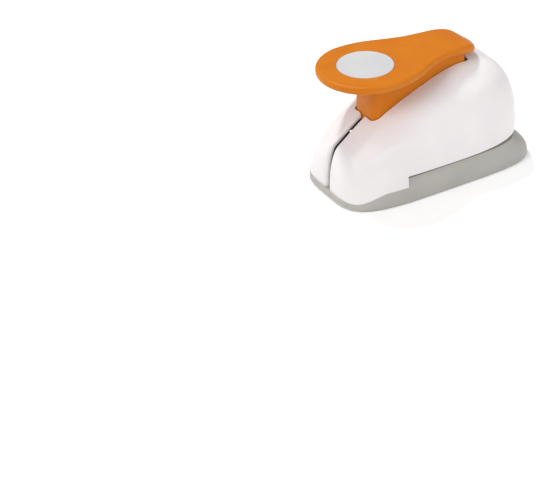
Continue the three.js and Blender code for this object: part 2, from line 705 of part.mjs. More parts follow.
function leverSolid() {
  const shareOf = (share) => (x) => plateBottomAt(x) + (plateTopAt(x) - plateBottomAt(x)) * share;
  const roundShare = plateEdgeRound / plateThickness;
  const plate = skinOf([
    leverRing(plateEdgeRound, shareOf(0)),
    leverRing(plateEdgeRound / 4, shareOf(roundShare / 3)),
    leverRing(0, shareOf(roundShare)),
    leverRing(0, shareOf(1 - roundShare)),
    leverRing(plateEdgeRound / 4, shareOf(1 - roundShare / 3)),
    leverRing(plateEdgeRound, shareOf(1)),
  ]);
  const outer = roundedPlate(skirtFrontX, skirtTailX + 2 * skirtCornerRound, skirtHalfWidth, skirtCornerRound);
  const inner = roundedPlate(skirtFrontX + skirtWall, skirtTailX + footLength, skirtHalfWidth - skirtWall,
    skirtCornerRound - skirtWall);
  const side = new THREE.Shape();
  side.moveTo(skirtFrontX - overrun, skirtFrontBottom);
  side.lineTo(skirtFrontX + skirtToe, skirtFrontBottom);
  side.lineTo(skirtWaistX, skirtWaistBottom);
  side.lineTo(pivotX, pivotHeight - skirtEyeRadius);
  side.absarc(pivotX, pivotHeight, skirtEyeRadius, -Math.PI / 2, 0);
  const intoPlate = plateThickness / 3;
  for (const x of [skirtTailX, (skirtTailX + humpX) / 2, humpX, (humpX + skirtFrontX) / 2, skirtFrontX - overrun]) {
    side.lineTo(x, plateBottomAt(x) + intoPlate);
  }
  const walls = raised(outer, 0, humpTop).subtract(raised(inner, -overrun, humpTop + overrun));
  const slotHalf = drivePinRadius + driveSlotGap;
  const driveSlot = new THREE.Shape();
  const slotX = cutX - driveSlotShift;
  driveSlot.absarc(slotX + driveSlotSpare, drivePinHeight, slotHalf, -Math.PI / 2, Math.PI / 2);
  driveSlot.absarc(slotX - driveSlotSpare, drivePinHeight, slotHalf, Math.PI / 2, 1.5 * Math.PI);
  const badgeBed = post(padX, 0, cutRadius + badgeGap, padTop - badgeThickness - seatGap + badgeProud,
    humpTop, cutSides);
  const hollow = skinOf([
    leverRing(underRim, (x) => plateBottomAt(x) - overrun),
    leverRing(underRim, (x) => plateBottomAt(x) + underHollow),
  ]).subtract(joined([
    raised(outer, 0, humpTop),
    block([skirtFrontX + padRadius, -footWidth, 0], [footLength, footWidth, humpTop]),
    ...[-1, 0, 1].map((i) => block([-footLength, i * underRibSpacing - underRib / 2, 0],
      [footLength, i * underRibSpacing + underRib / 2, humpTop])),
    ...[-1, 0, 1].map((i) => block([skirtFrontX + i * underRibSpacing - underRib / 2, -footWidth, 0],
      [skirtFrontX + i * underRibSpacing + underRib / 2, footWidth, humpTop])),
  ]));
  return plate.subtract(hollow)
    .add(walls.intersect(drawnAcross(side, footWidth)))
    .subtract(badgeBed)
    .subtract(rod(pivotX, pivotHeight, pivotBoreRadius, -footWidth, footWidth, pinSides))
    .subtract(drawnAcross(driveSlot, footWidth));
}

function badgeSolid() {
  const top = padTop + badgeProud;
  return turned(padX, 0, [
    [0, top - badgeThickness],
    [cutRadius, top - badgeThickness],
    [cutRadius, top - badgeEdgeRound],
    [cutRadius - badgeEdgeRound, top],
    [0, top],
  ], cutSides);
}

function washerSolid(side) {
  const near = side * (skirtHalfWidth + washerGap);
  const far = near + side * washerThickness;
  return turnedAcross(pivotX, pivotHeight, [
    [pivotBoreRadius, near],
    [washerRadius, near],
    [washerRadius, far],
    [pivotBoreRadius, far],
    [pivotBoreRadius, near],
  ], pinSides);
}

// The cutter: a round slug whose face is ground hollow, so that its rim cuts first
const cutterSolid = () => turned(cutX, 0, [
  [0, cutterBottom + cutterHollow],
  [cutRadius, cutterBottom],
  [cutRadius, cutterTop],
  [0, cutterTop],
], cutSides).subtract(joined(cutterScrewPlaces.map(([x, y]) => post(x, y,
  cutterScrew.diameter / 2 + screwGap, cutterTop + carrierDiscHeight - cutterScrew.length, cutterTop + overrun))));

// The plunger: a disc on the cutter, wings over the springs and a stem up between the lever's walls
function carrierSolid() {
  const stemTop = drivePinHeight + stemOverPin;
  return joined([
    post(cutX, 0, cutRadius - carrierDiscInset, carrierBottom, carrierDiscTop, cutSides),
    raised(upright(stemLength / 2, stemWidth / 2, stemCornerRound), carrierDiscTop - seatGap, stemTop),
    raised(upright(wingRadius, postY + wingRadius, wingRadius), wingBottom, wingTop),
  ]).subtract(joined([
    ...bothSides((side) => post(cutX, side * postY, postRadius + postGap, wingBottom - overrun, postTop)),
    rod(cutX, drivePinHeight, drivePinRadius + runningGap, -footWidth, footWidth, pinSides),
    ...cutterScrewPlaces.map(([x, y]) => post(x, y, cutterScrew.diameter / 2 + screwGap,
      carrierBottom - overrun, carrierDiscTop + overrun)),
  ]));
}

// A return spring: a tube along a coil whose end turns lie flat
class CoilLine extends THREE.Curve {
  constructor(x, y, low, high) {
    super();
    Object.assign(this, { x, y, low, high });
  }

  getPoint(share, target = new THREE.Vector3()) {
    const deadShare = springDeadTurns / springTurns;
    const live = Math.min(1, Math.max(0, (share - deadShare) / (1 - 2 * deadShare)));
    const deadRise = springWire * 1.15;
    const dead = Math.min(share, deadShare) + Math.max(0, share - 1 + deadShare);
    const rise = (dead / deadShare) * deadRise + live * (this.high - this.low - 2 * deadRise);
    const turn = 2 * Math.PI * springTurns * share;
    return target.set(
      this.x + springRadius * Math.cos(turn),
      this.y + springRadius * Math.sin(turn),
      this.low + rise,
    );
  }
}

function springSolid(side) {
  const wire = springWire / 2;
  const section = new THREE.Shape();
  for (let i = 0; i < 6; i += 1) {
    const turn = (Math.PI / 3) * i;
    const point = [wire * Math.cos(turn), wire * Math.sin(turn)];
    if (i === 0) section.moveTo(...point);
    else section.lineTo(...point);
  }
  const line = new CoilLine(cutX, side * postY, guideTop + springSeat + wire, wingBottom - springSeat - wire);
  const steps = springTurns * curveSteps * 1.5;
  return solidOf(new THREE.ExtrudeGeometry(section, { steps, extrudePath: line, bevelEnabled: false }));
}

const guidePostSolid = (side) => turned(cutX, side * postY, pinProfile(postRadius, roofHeight + seatGap, postTop));

// The die in the table and the guide plate over the paper: flat steel with the round hole of the cutter
function dieSolid() {
  return raised(roundedPlate(setNoseX, dieTailX, setHalfWidth, setCornerRound), dieBottom, tableHeight)
    .subtract(post(cutX, 0, cutHoleRadius, 0, roofHeight, cutSides))
    .subtract(joined([
      ...dieScrewPlaces.map(([x, y]) => post(x, y, dieScrew.diameter / 2 + screwGap, 0, roofHeight)),
      ...rivetPlaces.map(([x, y]) => post(x, y, rivet.diameter / 2 + screwGap, 0, roofHeight)),
    ]));
}

function guideSolid() {
  return raised(roundedPlate(setNoseX, guideTailX, setHalfWidth, setCornerRound), roofHeight, guideTop)
    .subtract(post(cutX, 0, cutHoleRadius, 0, 2 * guideTop, cutSides))
    .subtract(joined([
      ...bothSides((side) => post(cutX, side * postY, postRadius + runningGap, 0, 2 * guideTop)),
      ...rivetPlaces.map(([x, y]) => post(x, y, rivet.diameter / 2 + screwGap, 0, 2 * guideTop)),
    ]));
}

const spacerSolid = () => block(
  [setNoseX, -spacerHalfWidth, tableHeight + seatGap],
  [setNoseX + spacerLength, spacerHalfWidth, roofHeight - seatGap],
).subtract(joined(rivetPlaces.map(([x, y]) => post(x, y, rivet.diameter / 2 + screwGap, 0, 2 * roofHeight))));

// The rivets that hold both plates together at the closed end of the throat
function rivetSolid(x, y) {
  const low = dieBottom - seatGap;
  const high = guideTop + seatGap;
  return turned(x, y, [
    [0, low - rivet.headHeight],
    [rivet.head / 3, low - rivet.headHeight],
    [rivet.head / 2, low],
    [rivet.diameter / 2, low],
    [rivet.diameter / 2, high],
    [rivet.head / 2, high],
    [rivet.head / 3, high + rivet.headHeight],
    [0, high + rivet.headHeight],
  ]);
}

const uprightScrew = (kind, x, y, face, towards) => turned(x, y, screwProfile(kind, face, towards))
  .subtract(crossRecess(kind, [x, y, face], 2));

const housingScrewSolid = (x, z) => turnedAcross(x, z, screwProfile(housingScrew, housingScrewFace, -1))
  .subtract(crossRecess(housingScrew, [x, housingScrewFace, z], 1));

// A piece as a named mesh. Its shape is kept about its own place, which is its position in the group.
function piece(name, solid, material, place = [0, 0, 0]) {
  const geometry = geometryOf(solid);
  geometry.translate(...place.map((value) => -value));
  const mesh = new THREE.Mesh(geometry, material);
  mesh.name = name;
  mesh.position.set(...place);
  return mesh;
}

function groupAt(place, pieces) {
  const group = new THREE.Group();
  group.position.set(...place);
  for (const mesh of pieces) {
    mesh.position.sub(group.position);
    group.add(mesh);
  }
  return group;
}

const pivotPlace = [pivotX, 0, pivotHeight];
const plungerPlace = [cutX, 0, cutterBottom];
const padPlace = [padX, 0, padTop];
const wholeHousing = housingSolid();

const footGroup = groupAt([0, 0, 0], [
  piece('foot', footSolid(), greyPlastic),
  ...footScrewPlaces.map(([x, y], i) => piece(`foot_screw_${i + 1}`,
    uprightScrew(footScrew, x, y, footScrew.sink, 1), steel, [x, y, footScrew.sink])),
]);

const housingGroup = groupAt([0, 0, 0], [
  piece('housing_left', housingHalf(wholeHousing, 1), whitePlastic),
  piece('housing_right', housingHalf(wholeHousing, -1), whitePlastic),
  ...housingScrewPlaces.map(([x, z], i) => piece(`housing_screw_${i + 1}`, housingScrewSolid(x, z), steel,
    [x, housingScrewFace, z])),
  piece('pivot_pin', turnedAcross(pivotX, pivotHeight, pinProfile(pivotRadius, -pivotLength / 2,
    pivotLength / 2), pinSides), steel, pivotPlace),
  piece('pivot_washer_left', washerSolid(1), naturalNylon, pivotPlace),
  piece('pivot_washer_right', washerSolid(-1), naturalNylon, pivotPlace),
]);

const cuttingSet = groupAt([cutX, 0, tableHeight], [
  piece('die_plate', dieSolid(), steel),
  piece('throat_spacer', spacerSolid(), steel),
  piece('guide_plate', guideSolid(), steel),
  ...rivetPlaces.map(([x, y], i) => piece(`frame_rivet_${i + 1}`, rivetSolid(x, y), steel,
    [x, y, tableHeight])),
  ...dieScrewPlaces.map(([x, y], i) => piece(`die_screw_${i + 1}`,
    uprightScrew(dieScrew, x, y, dieScrewSink, 1), steel, [x, y, dieScrewSink])),
  piece('guide_post_left', guidePostSolid(1), steel),
  piece('guide_post_right', guidePostSolid(-1), steel),
  piece('return_spring_left', springSolid(1), springSteel),
  piece('return_spring_right', springSolid(-1), springSteel),
]);

const plunger = groupAt(plungerPlace, [
  piece('punch_cutter', cutterSolid(), steel, plungerPlace),
  piece('punch_carrier', carrierSolid(), blackPlastic, plungerPlace),
  ...cutterScrewPlaces.map(([x, y], i) => piece(`cutter_screw_${i + 1}`,
    uprightScrew(cutterScrew, x, y, cutterScrewFace, -1), steel, [x, y, cutterScrewFace])),
  piece('drive_pin', turnedAcross(cutX, drivePinHeight, pinProfile(drivePinRadius,
    -skirtHalfWidth, skirtHalfWidth), pinSides), steel, plungerPlace),
]);

const lever = groupAt(pivotPlace, [
  piece('lever', leverSolid(), orangePlastic, pivotPlace),
  piece('badge_disc', badgeSolid(), palePlastic, padPlace),
]);

const punch = new THREE.Group();
punch.add(footGroup, housingGroup, cuttingSet, plunger, lever);

export default punch;
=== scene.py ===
# %% [markdown]
# # Dressing a craft punch
# The punch comes as a frame of thirty-one plain solids. Each one already has its right place and size.
# This lesson gives the frame its looks: finer skins for the pieces that the eye rests on, and a finish for all.
# The other way would be to model everything again by eye. That would lose the sizes, so we keep to the frame.

import bmesh
import bpy
import numpy as np
from mathutils import Matrix, Vector


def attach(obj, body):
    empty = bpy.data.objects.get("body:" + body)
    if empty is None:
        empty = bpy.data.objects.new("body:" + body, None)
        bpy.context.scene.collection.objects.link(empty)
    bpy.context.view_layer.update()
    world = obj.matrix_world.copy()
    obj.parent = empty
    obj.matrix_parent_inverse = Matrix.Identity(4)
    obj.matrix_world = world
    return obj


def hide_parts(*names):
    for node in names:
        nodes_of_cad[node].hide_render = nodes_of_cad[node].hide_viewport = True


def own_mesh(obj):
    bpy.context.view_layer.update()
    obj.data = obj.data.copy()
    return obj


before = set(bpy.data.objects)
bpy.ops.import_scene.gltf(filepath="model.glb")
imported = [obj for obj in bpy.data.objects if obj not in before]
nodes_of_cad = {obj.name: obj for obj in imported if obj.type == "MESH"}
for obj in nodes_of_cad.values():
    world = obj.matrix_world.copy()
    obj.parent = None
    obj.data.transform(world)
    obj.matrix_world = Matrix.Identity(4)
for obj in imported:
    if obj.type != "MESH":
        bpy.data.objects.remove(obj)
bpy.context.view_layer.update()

# %% [markdown]
# All shapes below are worked out in millimetres, because that is how a moulder's drawing is written.
# Blender counts in metres, so a mesh is scaled once, when its points go in.
# A skin is a grid of points: rows go up the piece, columns go round it. Two neighbouring rows make a belt
# of four-sided faces. Rows that shrink to a line or a point close the ends, once doubled points are merged.

# %% Skins from grids of points
MM = 0.001


def mesh_piece(name, points, faces):
    """A mesh object at the origin from points in millimetres and a list of faces."""
    mesh = bpy.data.meshes.new(name)
    mesh.from_pydata((np.asarray(points) * MM).tolist(), [], faces)
    piece = bpy.data.objects.new(name, mesh)
    bpy.context.scene.collection.objects.link(piece)
    return piece


def merge_doubles(piece):
    """Merges points that lie within a thousandth of a millimetre, and points the faces outwards."""
    work = bmesh.new()
    work.from_mesh(piece.data)
    bmesh.ops.remove_doubles(work, verts=work.verts, dist=1e-6)
    bmesh.ops.dissolve_degenerate(work, edges=work.edges, dist=1e-7)
    bmesh.ops.recalc_face_normals(work, faces=work.faces)
    work.to_mesh(piece.data)
    work.free()


def skin(name, rows, capped=True):
    """A closed skin: row r and column c make the face (r, c), (r, c+1), (r+1, c+1), (r+1, c)."""
    rows = np.asarray(rows, dtype=float)
    count, around = rows.shape[:2]
    r, c = np.meshgrid(np.arange(count - 1), np.arange(around), indexing="ij")
    after = (c + 1) % around
    quads = np.stack([r * around + c, r * around + after, (r + 1) * around + after, (r + 1) * around + c], -1)
    faces = quads.reshape(-1, 4).tolist()
    if capped:
        faces.append(list(range(around))[::-1])
        faces.append(list(range((count - 1) * around, count * around)))
    piece = mesh_piece(name, rows.reshape(-1, 3), faces)
    merge_doubles(piece)
    return piece


def box_piece(name, low, high):
    """A block between two corners: the skin of two rings of four points."""
    (x0, y0, z0), (x1, y1, z1) = low, high
    corners = [(x0, y0), (x1, y0), (x1, y1), (x0, y1)]
    return skin(name, [[(x, y, z) for x, y in corners] for z in (z0, z1)])


# %% [markdown]
# A real moulding is cut: a slot for the lever, a groove at the nose, holes for screws.
# We could cut with live Boolean modifiers, but then every cutter stays in the file as a piece of its own.
# So each cut is made with an exact Boolean, kept in the mesh, and the cutter is thrown away.

# %% Cutting one skin with another
def baked(piece):
    """Puts the result of the piece's modifiers into its mesh."""
    graph = bpy.context.evaluated_depsgraph_get()
    graph.update()
    mesh = bpy.data.meshes.new_from_object(piece.evaluated_get(graph))
    piece.modifiers.clear()
    piece.data = mesh
    mesh.name = piece.name


def carve(piece, *cutters, how="DIFFERENCE"):
    """Cuts the piece with each cutter in turn, or joins or intersects it, and removes the cutters."""
    for cutter in cutters:
        cut = piece.modifiers.new("cut", "BOOLEAN")
        cut.operation = how
        cut.solver = "EXACT"
        cut.object = cutter
        baked(piece)
        bpy.data.objects.remove(cutter)
    return piece


def smooth(piece, angle=35):
    """Smooth shading, with an edge kept sharp where its two faces meet at more than the angle."""
    piece.data.shade_smooth()
    piece.data.set_sharp_from_angle(angle=np.radians(angle))
    print(piece.name, "faces:", len(piece.data.polygons))


# %% [markdown]
# The housing is a mouse-shaped dome. In plan it is a superellipse, blunter at one end than at the other.
# From each point of that outline a second superellipse rises to a ridge, which climbs from nose to crown.
# A sculptor would push a sphere about. A formula gives the same surface to the frame's own numbers.

# %% The dome's plan and ridge
NOSE_X, TAIL_X, HALF_WIDTH = -48.9, 46.1, 26.4
RIDGE_NOSE_X, RIDGE_TAIL_X = -43.7, 16.9
SLOT_FRONT_X, SLOT_TAIL_X, SLOT_HALF, SLOT_ROUND = -29.7, 21.2, 8.75, 3.6
CROWN = 52.2
WALL_FOOT = 3.0


def plan_ring(nose_x, tail_x, half_width, nose_power, tail_power, inset, turn):
    """A superellipse: |x/a|^p + |y/b|^p = 1, read off along each turn, then moved in along its normals."""
    middle, half = (nose_x + tail_x) / 2, (tail_x - nose_x) / 2
    power = np.where(np.cos(turn) < 0, nose_power, tail_power)
    reach = (np.abs(np.cos(turn)) ** power + np.abs(np.sin(turn)) ** power) ** (-1 / power)
    along, across = np.cos(turn) * reach, np.sin(turn) * reach
    nx = np.abs(along) ** (power - 1) * np.sign(along) / half
    ny = np.abs(across) ** (power - 1) * np.sign(across) / half_width
    size = np.hypot(nx, ny)
    return middle + half * along - nx / size * inset, half_width * across - ny / size * inset


def smooth_line(knots):
    """Cubic pieces between knots of rising x. The line is flat at its ends and at each crest."""
    x, z = np.array(knots, dtype=float).T
    slope = np.zeros_like(z)
    rising = (z[1:-1] - z[:-2]) * (z[2:] - z[1:-1]) > 0
    slope[1:-1] = np.where(rising, (z[2:] - z[:-2]) / (x[2:] - x[:-2]), 0)

    def at(where):
        i = np.clip(np.searchsorted(x, where, side="right") - 1, 0, len(x) - 2)
        span = x[i + 1] - x[i]
        t = np.clip((where - x[i]) / span, 0, 1)
        ease = t * t * (3 - 2 * t)
        return (z[i] + (z[i + 1] - z[i]) * ease + t * (1 - t) ** 2 * span * slope[i]
                - t * t * (1 - t) * span * slope[i + 1])

    return at


middle_x = (SLOT_FRONT_X + SLOT_TAIL_X) / 2
nose_slope = (47 - 25) / (middle_x - RIDGE_NOSE_X)
ridge_at = smooth_line([
    (RIDGE_NOSE_X - 5.2, 25 - nose_slope * 5.2), (RIDGE_NOSE_X, 25), (SLOT_FRONT_X, 35.4),
    (middle_x, 47), (RIDGE_TAIL_X, CROWN), (TAIL_X, CROWN),
])


def dome_rows(inset, turn, lift):
    """Rows of the dome. For a lift angle a, a point stands at ridge + (outline - ridge) cos(a)^(2/n) in plan
    and at foot + (ridge height - foot) sin(a)^(2/n) in height. n and the outline's powers change with a."""
    rows = []
    for angle in lift:
        share = angle / (np.pi / 2)
        px, py = plan_ring(NOSE_X, TAIL_X, HALF_WIDTH, 4.4 - 2.2 * share, 2.9 + 2.1 * share, inset, turn)
        nose_end = RIDGE_NOSE_X + inset / 2
        ridge_x = np.clip(px, nose_end, RIDGE_TAIL_X)
        power = 2.34 + 0.66 * (ridge_x - nose_end) / (RIDGE_TAIL_X - nose_end)
        reach = np.cos(angle) ** (2 / power) if share < 1 else np.zeros_like(power)
        x = ridge_x + (px - ridge_x) * reach
        z = WALL_FOOT + (ridge_at(x) - inset - WALL_FOOT) * np.sin(angle) ** (2 / power)
        rows.append(np.stack([x, py * reach, z], -1))
    return np.array(rows)


# %% [markdown]
# Below the slot the paper goes in, so the housing's lower edge follows the foot and then steps up over the
# table. The same side line, drawn across the whole width, cuts the housing's underside and the foot's top.

# %% The line between housing and foot
CUT_X, CUT_RADIUS = -4.0, 12.7
LEDGE_START, LEDGE_END, STEP_X = -48.5, -31.01, -22.0
NOSE_TOP, LEDGE_TOP, TABLE, ROOF = 3.4, 8.1, 12.0, 13.5
ledge_at = smooth_line([(LEDGE_START, NOSE_TOP), (LEDGE_END, LEDGE_TOP)])


def drawn_across(name, line, low_y, high_y):
    """A closed line in the side view, drawn across from one side to the other."""
    line = np.asarray(line, dtype=float)
    rows = [np.stack([line[:, 0], np.full(len(line), y), line[:, 1]], -1) for y in (high_y, low_y)]
    return skin(name, rows)


def side_prism(name, lift, face_gap, table, floor, half_width):
    """Everything below the ledge line, lifted, and behind the step below the table, drawn across."""
    x = np.linspace(LEDGE_END, LEDGE_START, 40)
    step = STEP_X - face_gap
    line = np.concatenate([
        [(-55, floor), (55, floor), (55, table), (step, table), (step, LEDGE_TOP + lift)],
        np.stack([x, ledge_at(x) + lift], -1), [(-55, NOSE_TOP + lift)],
    ])
    return drawn_across(name, line, -half_width, half_width)


def circle(u, v, radius, fine=48):
    """Points of a circle, in plan or in the side view."""
    turn = 2 * np.pi * np.arange(fine) / fine
    return np.stack([u + radius * np.cos(turn), v + radius * np.sin(turn)], -1)


def rounded_ring(x0, x1, half, nose_round, tail_round, fine=10):
    """A rectangle in plan whose corners are quarter circles, as one ring of points."""
    quarter = np.linspace(0, np.pi / 2, fine)
    corners = [(x0 + nose_round, -half + nose_round, nose_round, np.pi),
               (x1 - tail_round, -half + tail_round, tail_round, 1.5 * np.pi),
               (x1 - tail_round, half - tail_round, tail_round, 0),
               (x0 + nose_round, half - nose_round, nose_round, 0.5 * np.pi)]
    ring = [np.stack([cx + r * np.cos(start + quarter), cy + r * np.sin(start + quarter)], -1)
            for cx, cy, r, start in corners]
    return np.concatenate(ring)


def prism(name, ring, low, high):
    """A ring of points in plan, raised from one height to another."""
    return skin(name, [np.column_stack([ring, np.full(len(ring), z)]) for z in (low, high)])


def upright_pin(name, place, radius, low, high, fine=48):
    """A plain round prism about an upright axis, used as a boss or a cutter."""
    return prism(name, circle(*place, radius, fine), low, high)


def cross_pin(name, place, radius, low_y, high_y):
    """A plain round prism along y, used as a boss or a cutter."""
    return drawn_across(name, circle(*place, radius), low_y, high_y)


# %% [markdown]
# Each flank carries one soft sculpted line: it starts crisp behind the nose, widens and dies out half way
# back. A painted dark streak would slide off in other light. So the skin itself steps: above the line it
# stands proud, below it lies back, and both sides come back to the dome within a few millimetres.

# %% The sculpted line on the flanks
CREASE_LEAN, CREASE_REACH, CREASE_CLEAR = 0.9, 9, 6
crease_height_at = smooth_line([
    (-46, 16.3), (-41.5, 19.1), (-36, 22.6), (-28.7, 25.9), (-18.4, 28.6), (-8, 30.2),
])
crease_width_at = smooth_line([(-46, 1.5), (-38, 1.9), (-28, 2.9), (-8, 4.5)])
crease_depth_at = smooth_line([(-46.5, 0), (-41, 0.75), (-30, 1.2), (-18, 1.1), (-4, 0)])


def normals_of(rows):
    """Unit normals of a grid from its differences along and across the rows."""
    along = np.roll(rows, -1, axis=1) - np.roll(rows, 1, axis=1)
    up = np.gradient(rows, axis=0)
    normal = np.cross(along, up)
    return normal / np.maximum(np.linalg.norm(normal, axis=2), 1e-9)[:, :, None]


def with_crease(rows):
    """Moves each point along its normal by depth(x) (step(v/width) - 1/2) exp(-(v/reach)^2), v above the line."""
    x, y, z = rows[:, :, 0], rows[:, :, 1], rows[:, :, 2]
    v = (z - crease_height_at(x)) * CREASE_LEAN
    step = np.clip(v / crease_width_at(x) + 0.5, 0, 1)
    step = step * step * (3 - 2 * step)
    flank = np.clip((np.abs(y) - CREASE_CLEAR) / CREASE_CLEAR, 0, 1)
    move = crease_depth_at(x) * (step - 0.5) * np.exp(-(v / CREASE_REACH) ** 2) * flank
    move[-1] = 0
    return rows + normals_of(rows) * move[:, :, None]


# %% [markdown]
# The two halves of the housing meet on the middle plane. At the nose their edges stand apart and leave a
# dark groove, and behind the slot only a hair line shows. Edges of a moulding are never knife sharp, so the
# groove's cutter widens at the skin: its section is a slit with two quarter rounds, swept up the nose.

# %% The groove at the nose
GROOVE_HALF, GROOVE_ROUND, GROOVE_DEEP, GROOVE_STEP = 1.1, 1.8, 3.2, 0.73


def groove_cutter(rows):
    """The section (a slit, two quarter rounds and a wide top) set square to the skin's line at the nose."""
    ridge = np.linspace(RIDGE_NOSE_X, SLOT_FRONT_X + 2.5, 30)[1:]
    ridge = np.stack([ridge, np.zeros_like(ridge), ridge_at(ridge)], -1)
    spine = np.concatenate([[rows[0, 0] - (0, 0, 6)], rows[::3, 0], ridge])
    run = np.concatenate([[0], np.cumsum(np.linalg.norm(np.diff(spine, axis=0), axis=1))])
    even = np.arange(0, run[-1], GROOVE_STEP)
    spine = np.stack([np.interp(even, run, spine[:, k]) for k in range(3)], -1)
    for _ in range(3):
        spine[1:-1] = (spine[:-2] + spine[1:-1] + spine[2:]) / 3
    along = np.gradient(spine, axis=0)
    along /= np.linalg.norm(along, axis=1)[:, None]
    out = np.stack([-along[:, 2], np.zeros(len(along)), along[:, 0]], -1)
    bend = np.linspace(0, np.radians(80), 8)
    side = np.concatenate([[(GROOVE_HALF, -GROOVE_DEEP)],
                           np.stack([GROOVE_HALF + GROOVE_ROUND * (1 - np.cos(bend)),
                                     -GROOVE_ROUND * (1 - np.sin(bend))], -1),
                           [(GROOVE_HALF + GROOVE_ROUND, 0.5), (GROOVE_HALF + GROOVE_ROUND, 2.5)]])
    section = np.concatenate([side, side[::-1] * (-1, 1)])
    rows = spine[:, None] + out[:, None] * section[None, :, 1, None]
    rows[:, :, 1] = section[None, :, 0]
    return skin("groove", rows)


# %% [markdown]
# Inside, the housing holds the works: bosses for the lever's axle, posts for the screws from below, bosses
# for the screws that close the halves, and rails that press on the guide plate. They are joined first and
# then kept within the middle of the wall, so that none comes through the dome. The inside faces carry a
# material slot of their own. It is a rougher white, since a moulder leaves the inside unpolished, and it is
# painted darker grey as painted shade, so that the groove and the throat look dark.

# %% Bosses, rails and pockets of the housing
PIVOT = (15.0, 44.0)
FOOT_SCREWS = [(-41.5, -13.5), (-41.5, 13.5)]
HOUSING_SCREWS = [(-35.7, 21.3), (28.9, 41.5), (36.5, 21.1)]
SCREW_SEAT_Y, SCREW_END_Y, BOSS_FACE, PIN_END = 6.0, -5.4, 9.2, 13.8
PIVOT_BOSS, FOOT_SCREW_POST, SCREW_BOSS, POST_TOP = 5.4, 3.2, 3.7, 16.8
RAILS_X, RAIL_LOW, RAIL_TOP, POST_Y = ((-18, -9), (1, 24)), 15.6, 17.6, 17.0
WASHER_BED, PIN_BED, SCREW_HEAD, SCREW_SHANK = 4.75, 2.58, 2.6, 1.3
WING_ROUND, WING_LOW, WING_TOP = 3.4, 20, 30.8
FOOT_SCREW_BORE, FOOT_SCREW_END = 1.4, 15.3
WALL, WALL_MIDDLE = 2.3, 1.0


def all_inside(piece):
    """Gives every face of the piece material slot 1, which a Boolean hands on to the faces that it leaves."""
    while len(piece.data.materials) < 2:
        piece.data.materials.append(None)
    piece.data.polygons.foreach_set("material_index", np.ones(len(piece.data.polygons), dtype=np.int32))
    return piece


def housing_inside(turn):
    """Bosses for pivot and screws and the rails over the guide plate, kept within the middle of the wall."""
    bosses = cross_pin("boss", PIVOT, PIVOT_BOSS, BOSS_FACE, 40)
    parts = [cross_pin("boss", PIVOT, PIVOT_BOSS, -40, -BOSS_FACE)]
    parts += [upright_pin("post", p, FOOT_SCREW_POST, 0, POST_TOP) for p in FOOT_SCREWS]
    parts += [cross_pin("boss", p, SCREW_BOSS, -40, 40) for p in HOUSING_SCREWS]
    parts += [box_piece("rail", (x0, y0, RAIL_LOW), (x1, y1, RAIL_TOP))
              for x0, x1 in RAILS_X for y0, y1 in ((-40, -POST_Y), (POST_Y, 40))]
    carve(bosses, *parts, how="UNION")
    limit = dome_rows(WALL_MIDDLE, turn, np.pi / 2 * np.linspace(0, 1, 25))
    deep = limit[0].copy()
    deep[:, 2] = -2.5
    return all_inside(carve(bosses, skin("limit", [deep, *limit]), how="INTERSECT"))


def housing_pockets():
    """Cutters: washer and pin of the pivot, the wings' pocket, foot screws, and housing screws from +y."""
    wings = np.array([(WING_ROUND * np.cos(a), POST_Y * np.sign(np.sin(a) + 1e-9) + WING_ROUND * np.sin(a))
                      for a in 2 * np.pi * (np.arange(48) + 0.5) / 48])
    cutters = [cross_pin("washer", PIVOT, WASHER_BED, -BOSS_FACE, BOSS_FACE),
               cross_pin("pin", PIVOT, PIN_BED, -PIN_END, PIN_END),
               prism("wings", wings + (CUT_X, 0), WING_LOW, WING_TOP)]
    cutters += [upright_pin("bore", p, FOOT_SCREW_BORE, -3, FOOT_SCREW_END) for p in FOOT_SCREWS]
    for place in HOUSING_SCREWS:
        cutters += [cross_pin("head", place, SCREW_HEAD, SCREW_SEAT_Y, 60),
                    cross_pin("shank", place, SCREW_SHANK, SCREW_END_Y, 8)]
    return [all_inside(cutter) for cutter in cutters]


# %% [markdown]
# The dome is made whole and then parted along the middle plane, as the mould's parting is. Two domes, one
# within the other, leave the wall between them. Each half then keeps a tenth of a millimetre off the plane,
# and that gap is the hair line behind the slot.

# %% The two halves of the housing
def housing_whole():
    """Outer dome, less an inner dome, with bosses, less pockets, what lies below the foot's line, and slots."""
    turn = np.pi + 2 * np.pi * np.arange(440) / 440
    lift = np.pi / 2 * np.linspace(0, 1, 111) ** 1.15
    outer = with_crease(dome_rows(0, turn, lift))
    floor = outer[0].copy()
    floor[:, 2] = -2
    whole = skin("housing_whole", [floor, *outer])
    whole.data.materials.append(None)
    whole.data.materials.append(None)
    inner = dome_rows(WALL, turn[::4], np.pi / 2 * np.linspace(0, 1, 25))
    deep = inner[0].copy()
    deep[:, 2] = -3
    carve(whole, all_inside(skin("inner", [deep, *inner])))
    carve(whole, housing_inside(turn[::4]), how="UNION")
    below = side_prism("below", 0.05, 0.3, ROOF, -4, 60)
    slot = prism("slot", rounded_ring(SLOT_FRONT_X, SLOT_TAIL_X, SLOT_HALF, SLOT_ROUND, 1.2), 19.5, 70)
    deep_half = GROOVE_HALF - 0.04
    deep_groove = box_piece("deep_groove", (-60, -deep_half, -1), (SLOT_FRONT_X + 2, deep_half, 70))
    return carve(whole, *housing_pockets(), below, slot, groove_cutter(dome_rows(0, turn[:1], lift)), deep_groove)


def housing_half(whole, side, name):
    """The part of the whole on one side of the parting plane, a tenth of a millimetre off it."""
    half = whole.copy()
    half.data = whole.data.copy()
    half.name = name
    bpy.context.scene.collection.objects.link(half)
    edges = sorted([side * 0.1, side * 60])
    carve(half, box_piece("side", (-70, edges[0], -20), (70, edges[1], 80)), how="INTERSECT")
    smooth(half, 40)
    inside = np.empty(len(half.data.polygons), dtype=np.int32)
    half.data.polygons.foreach_get("material_index", inside)
    print(name, len(inside), "faces, of them inside", int(inside.sum()))
    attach(half, "body")
    return half


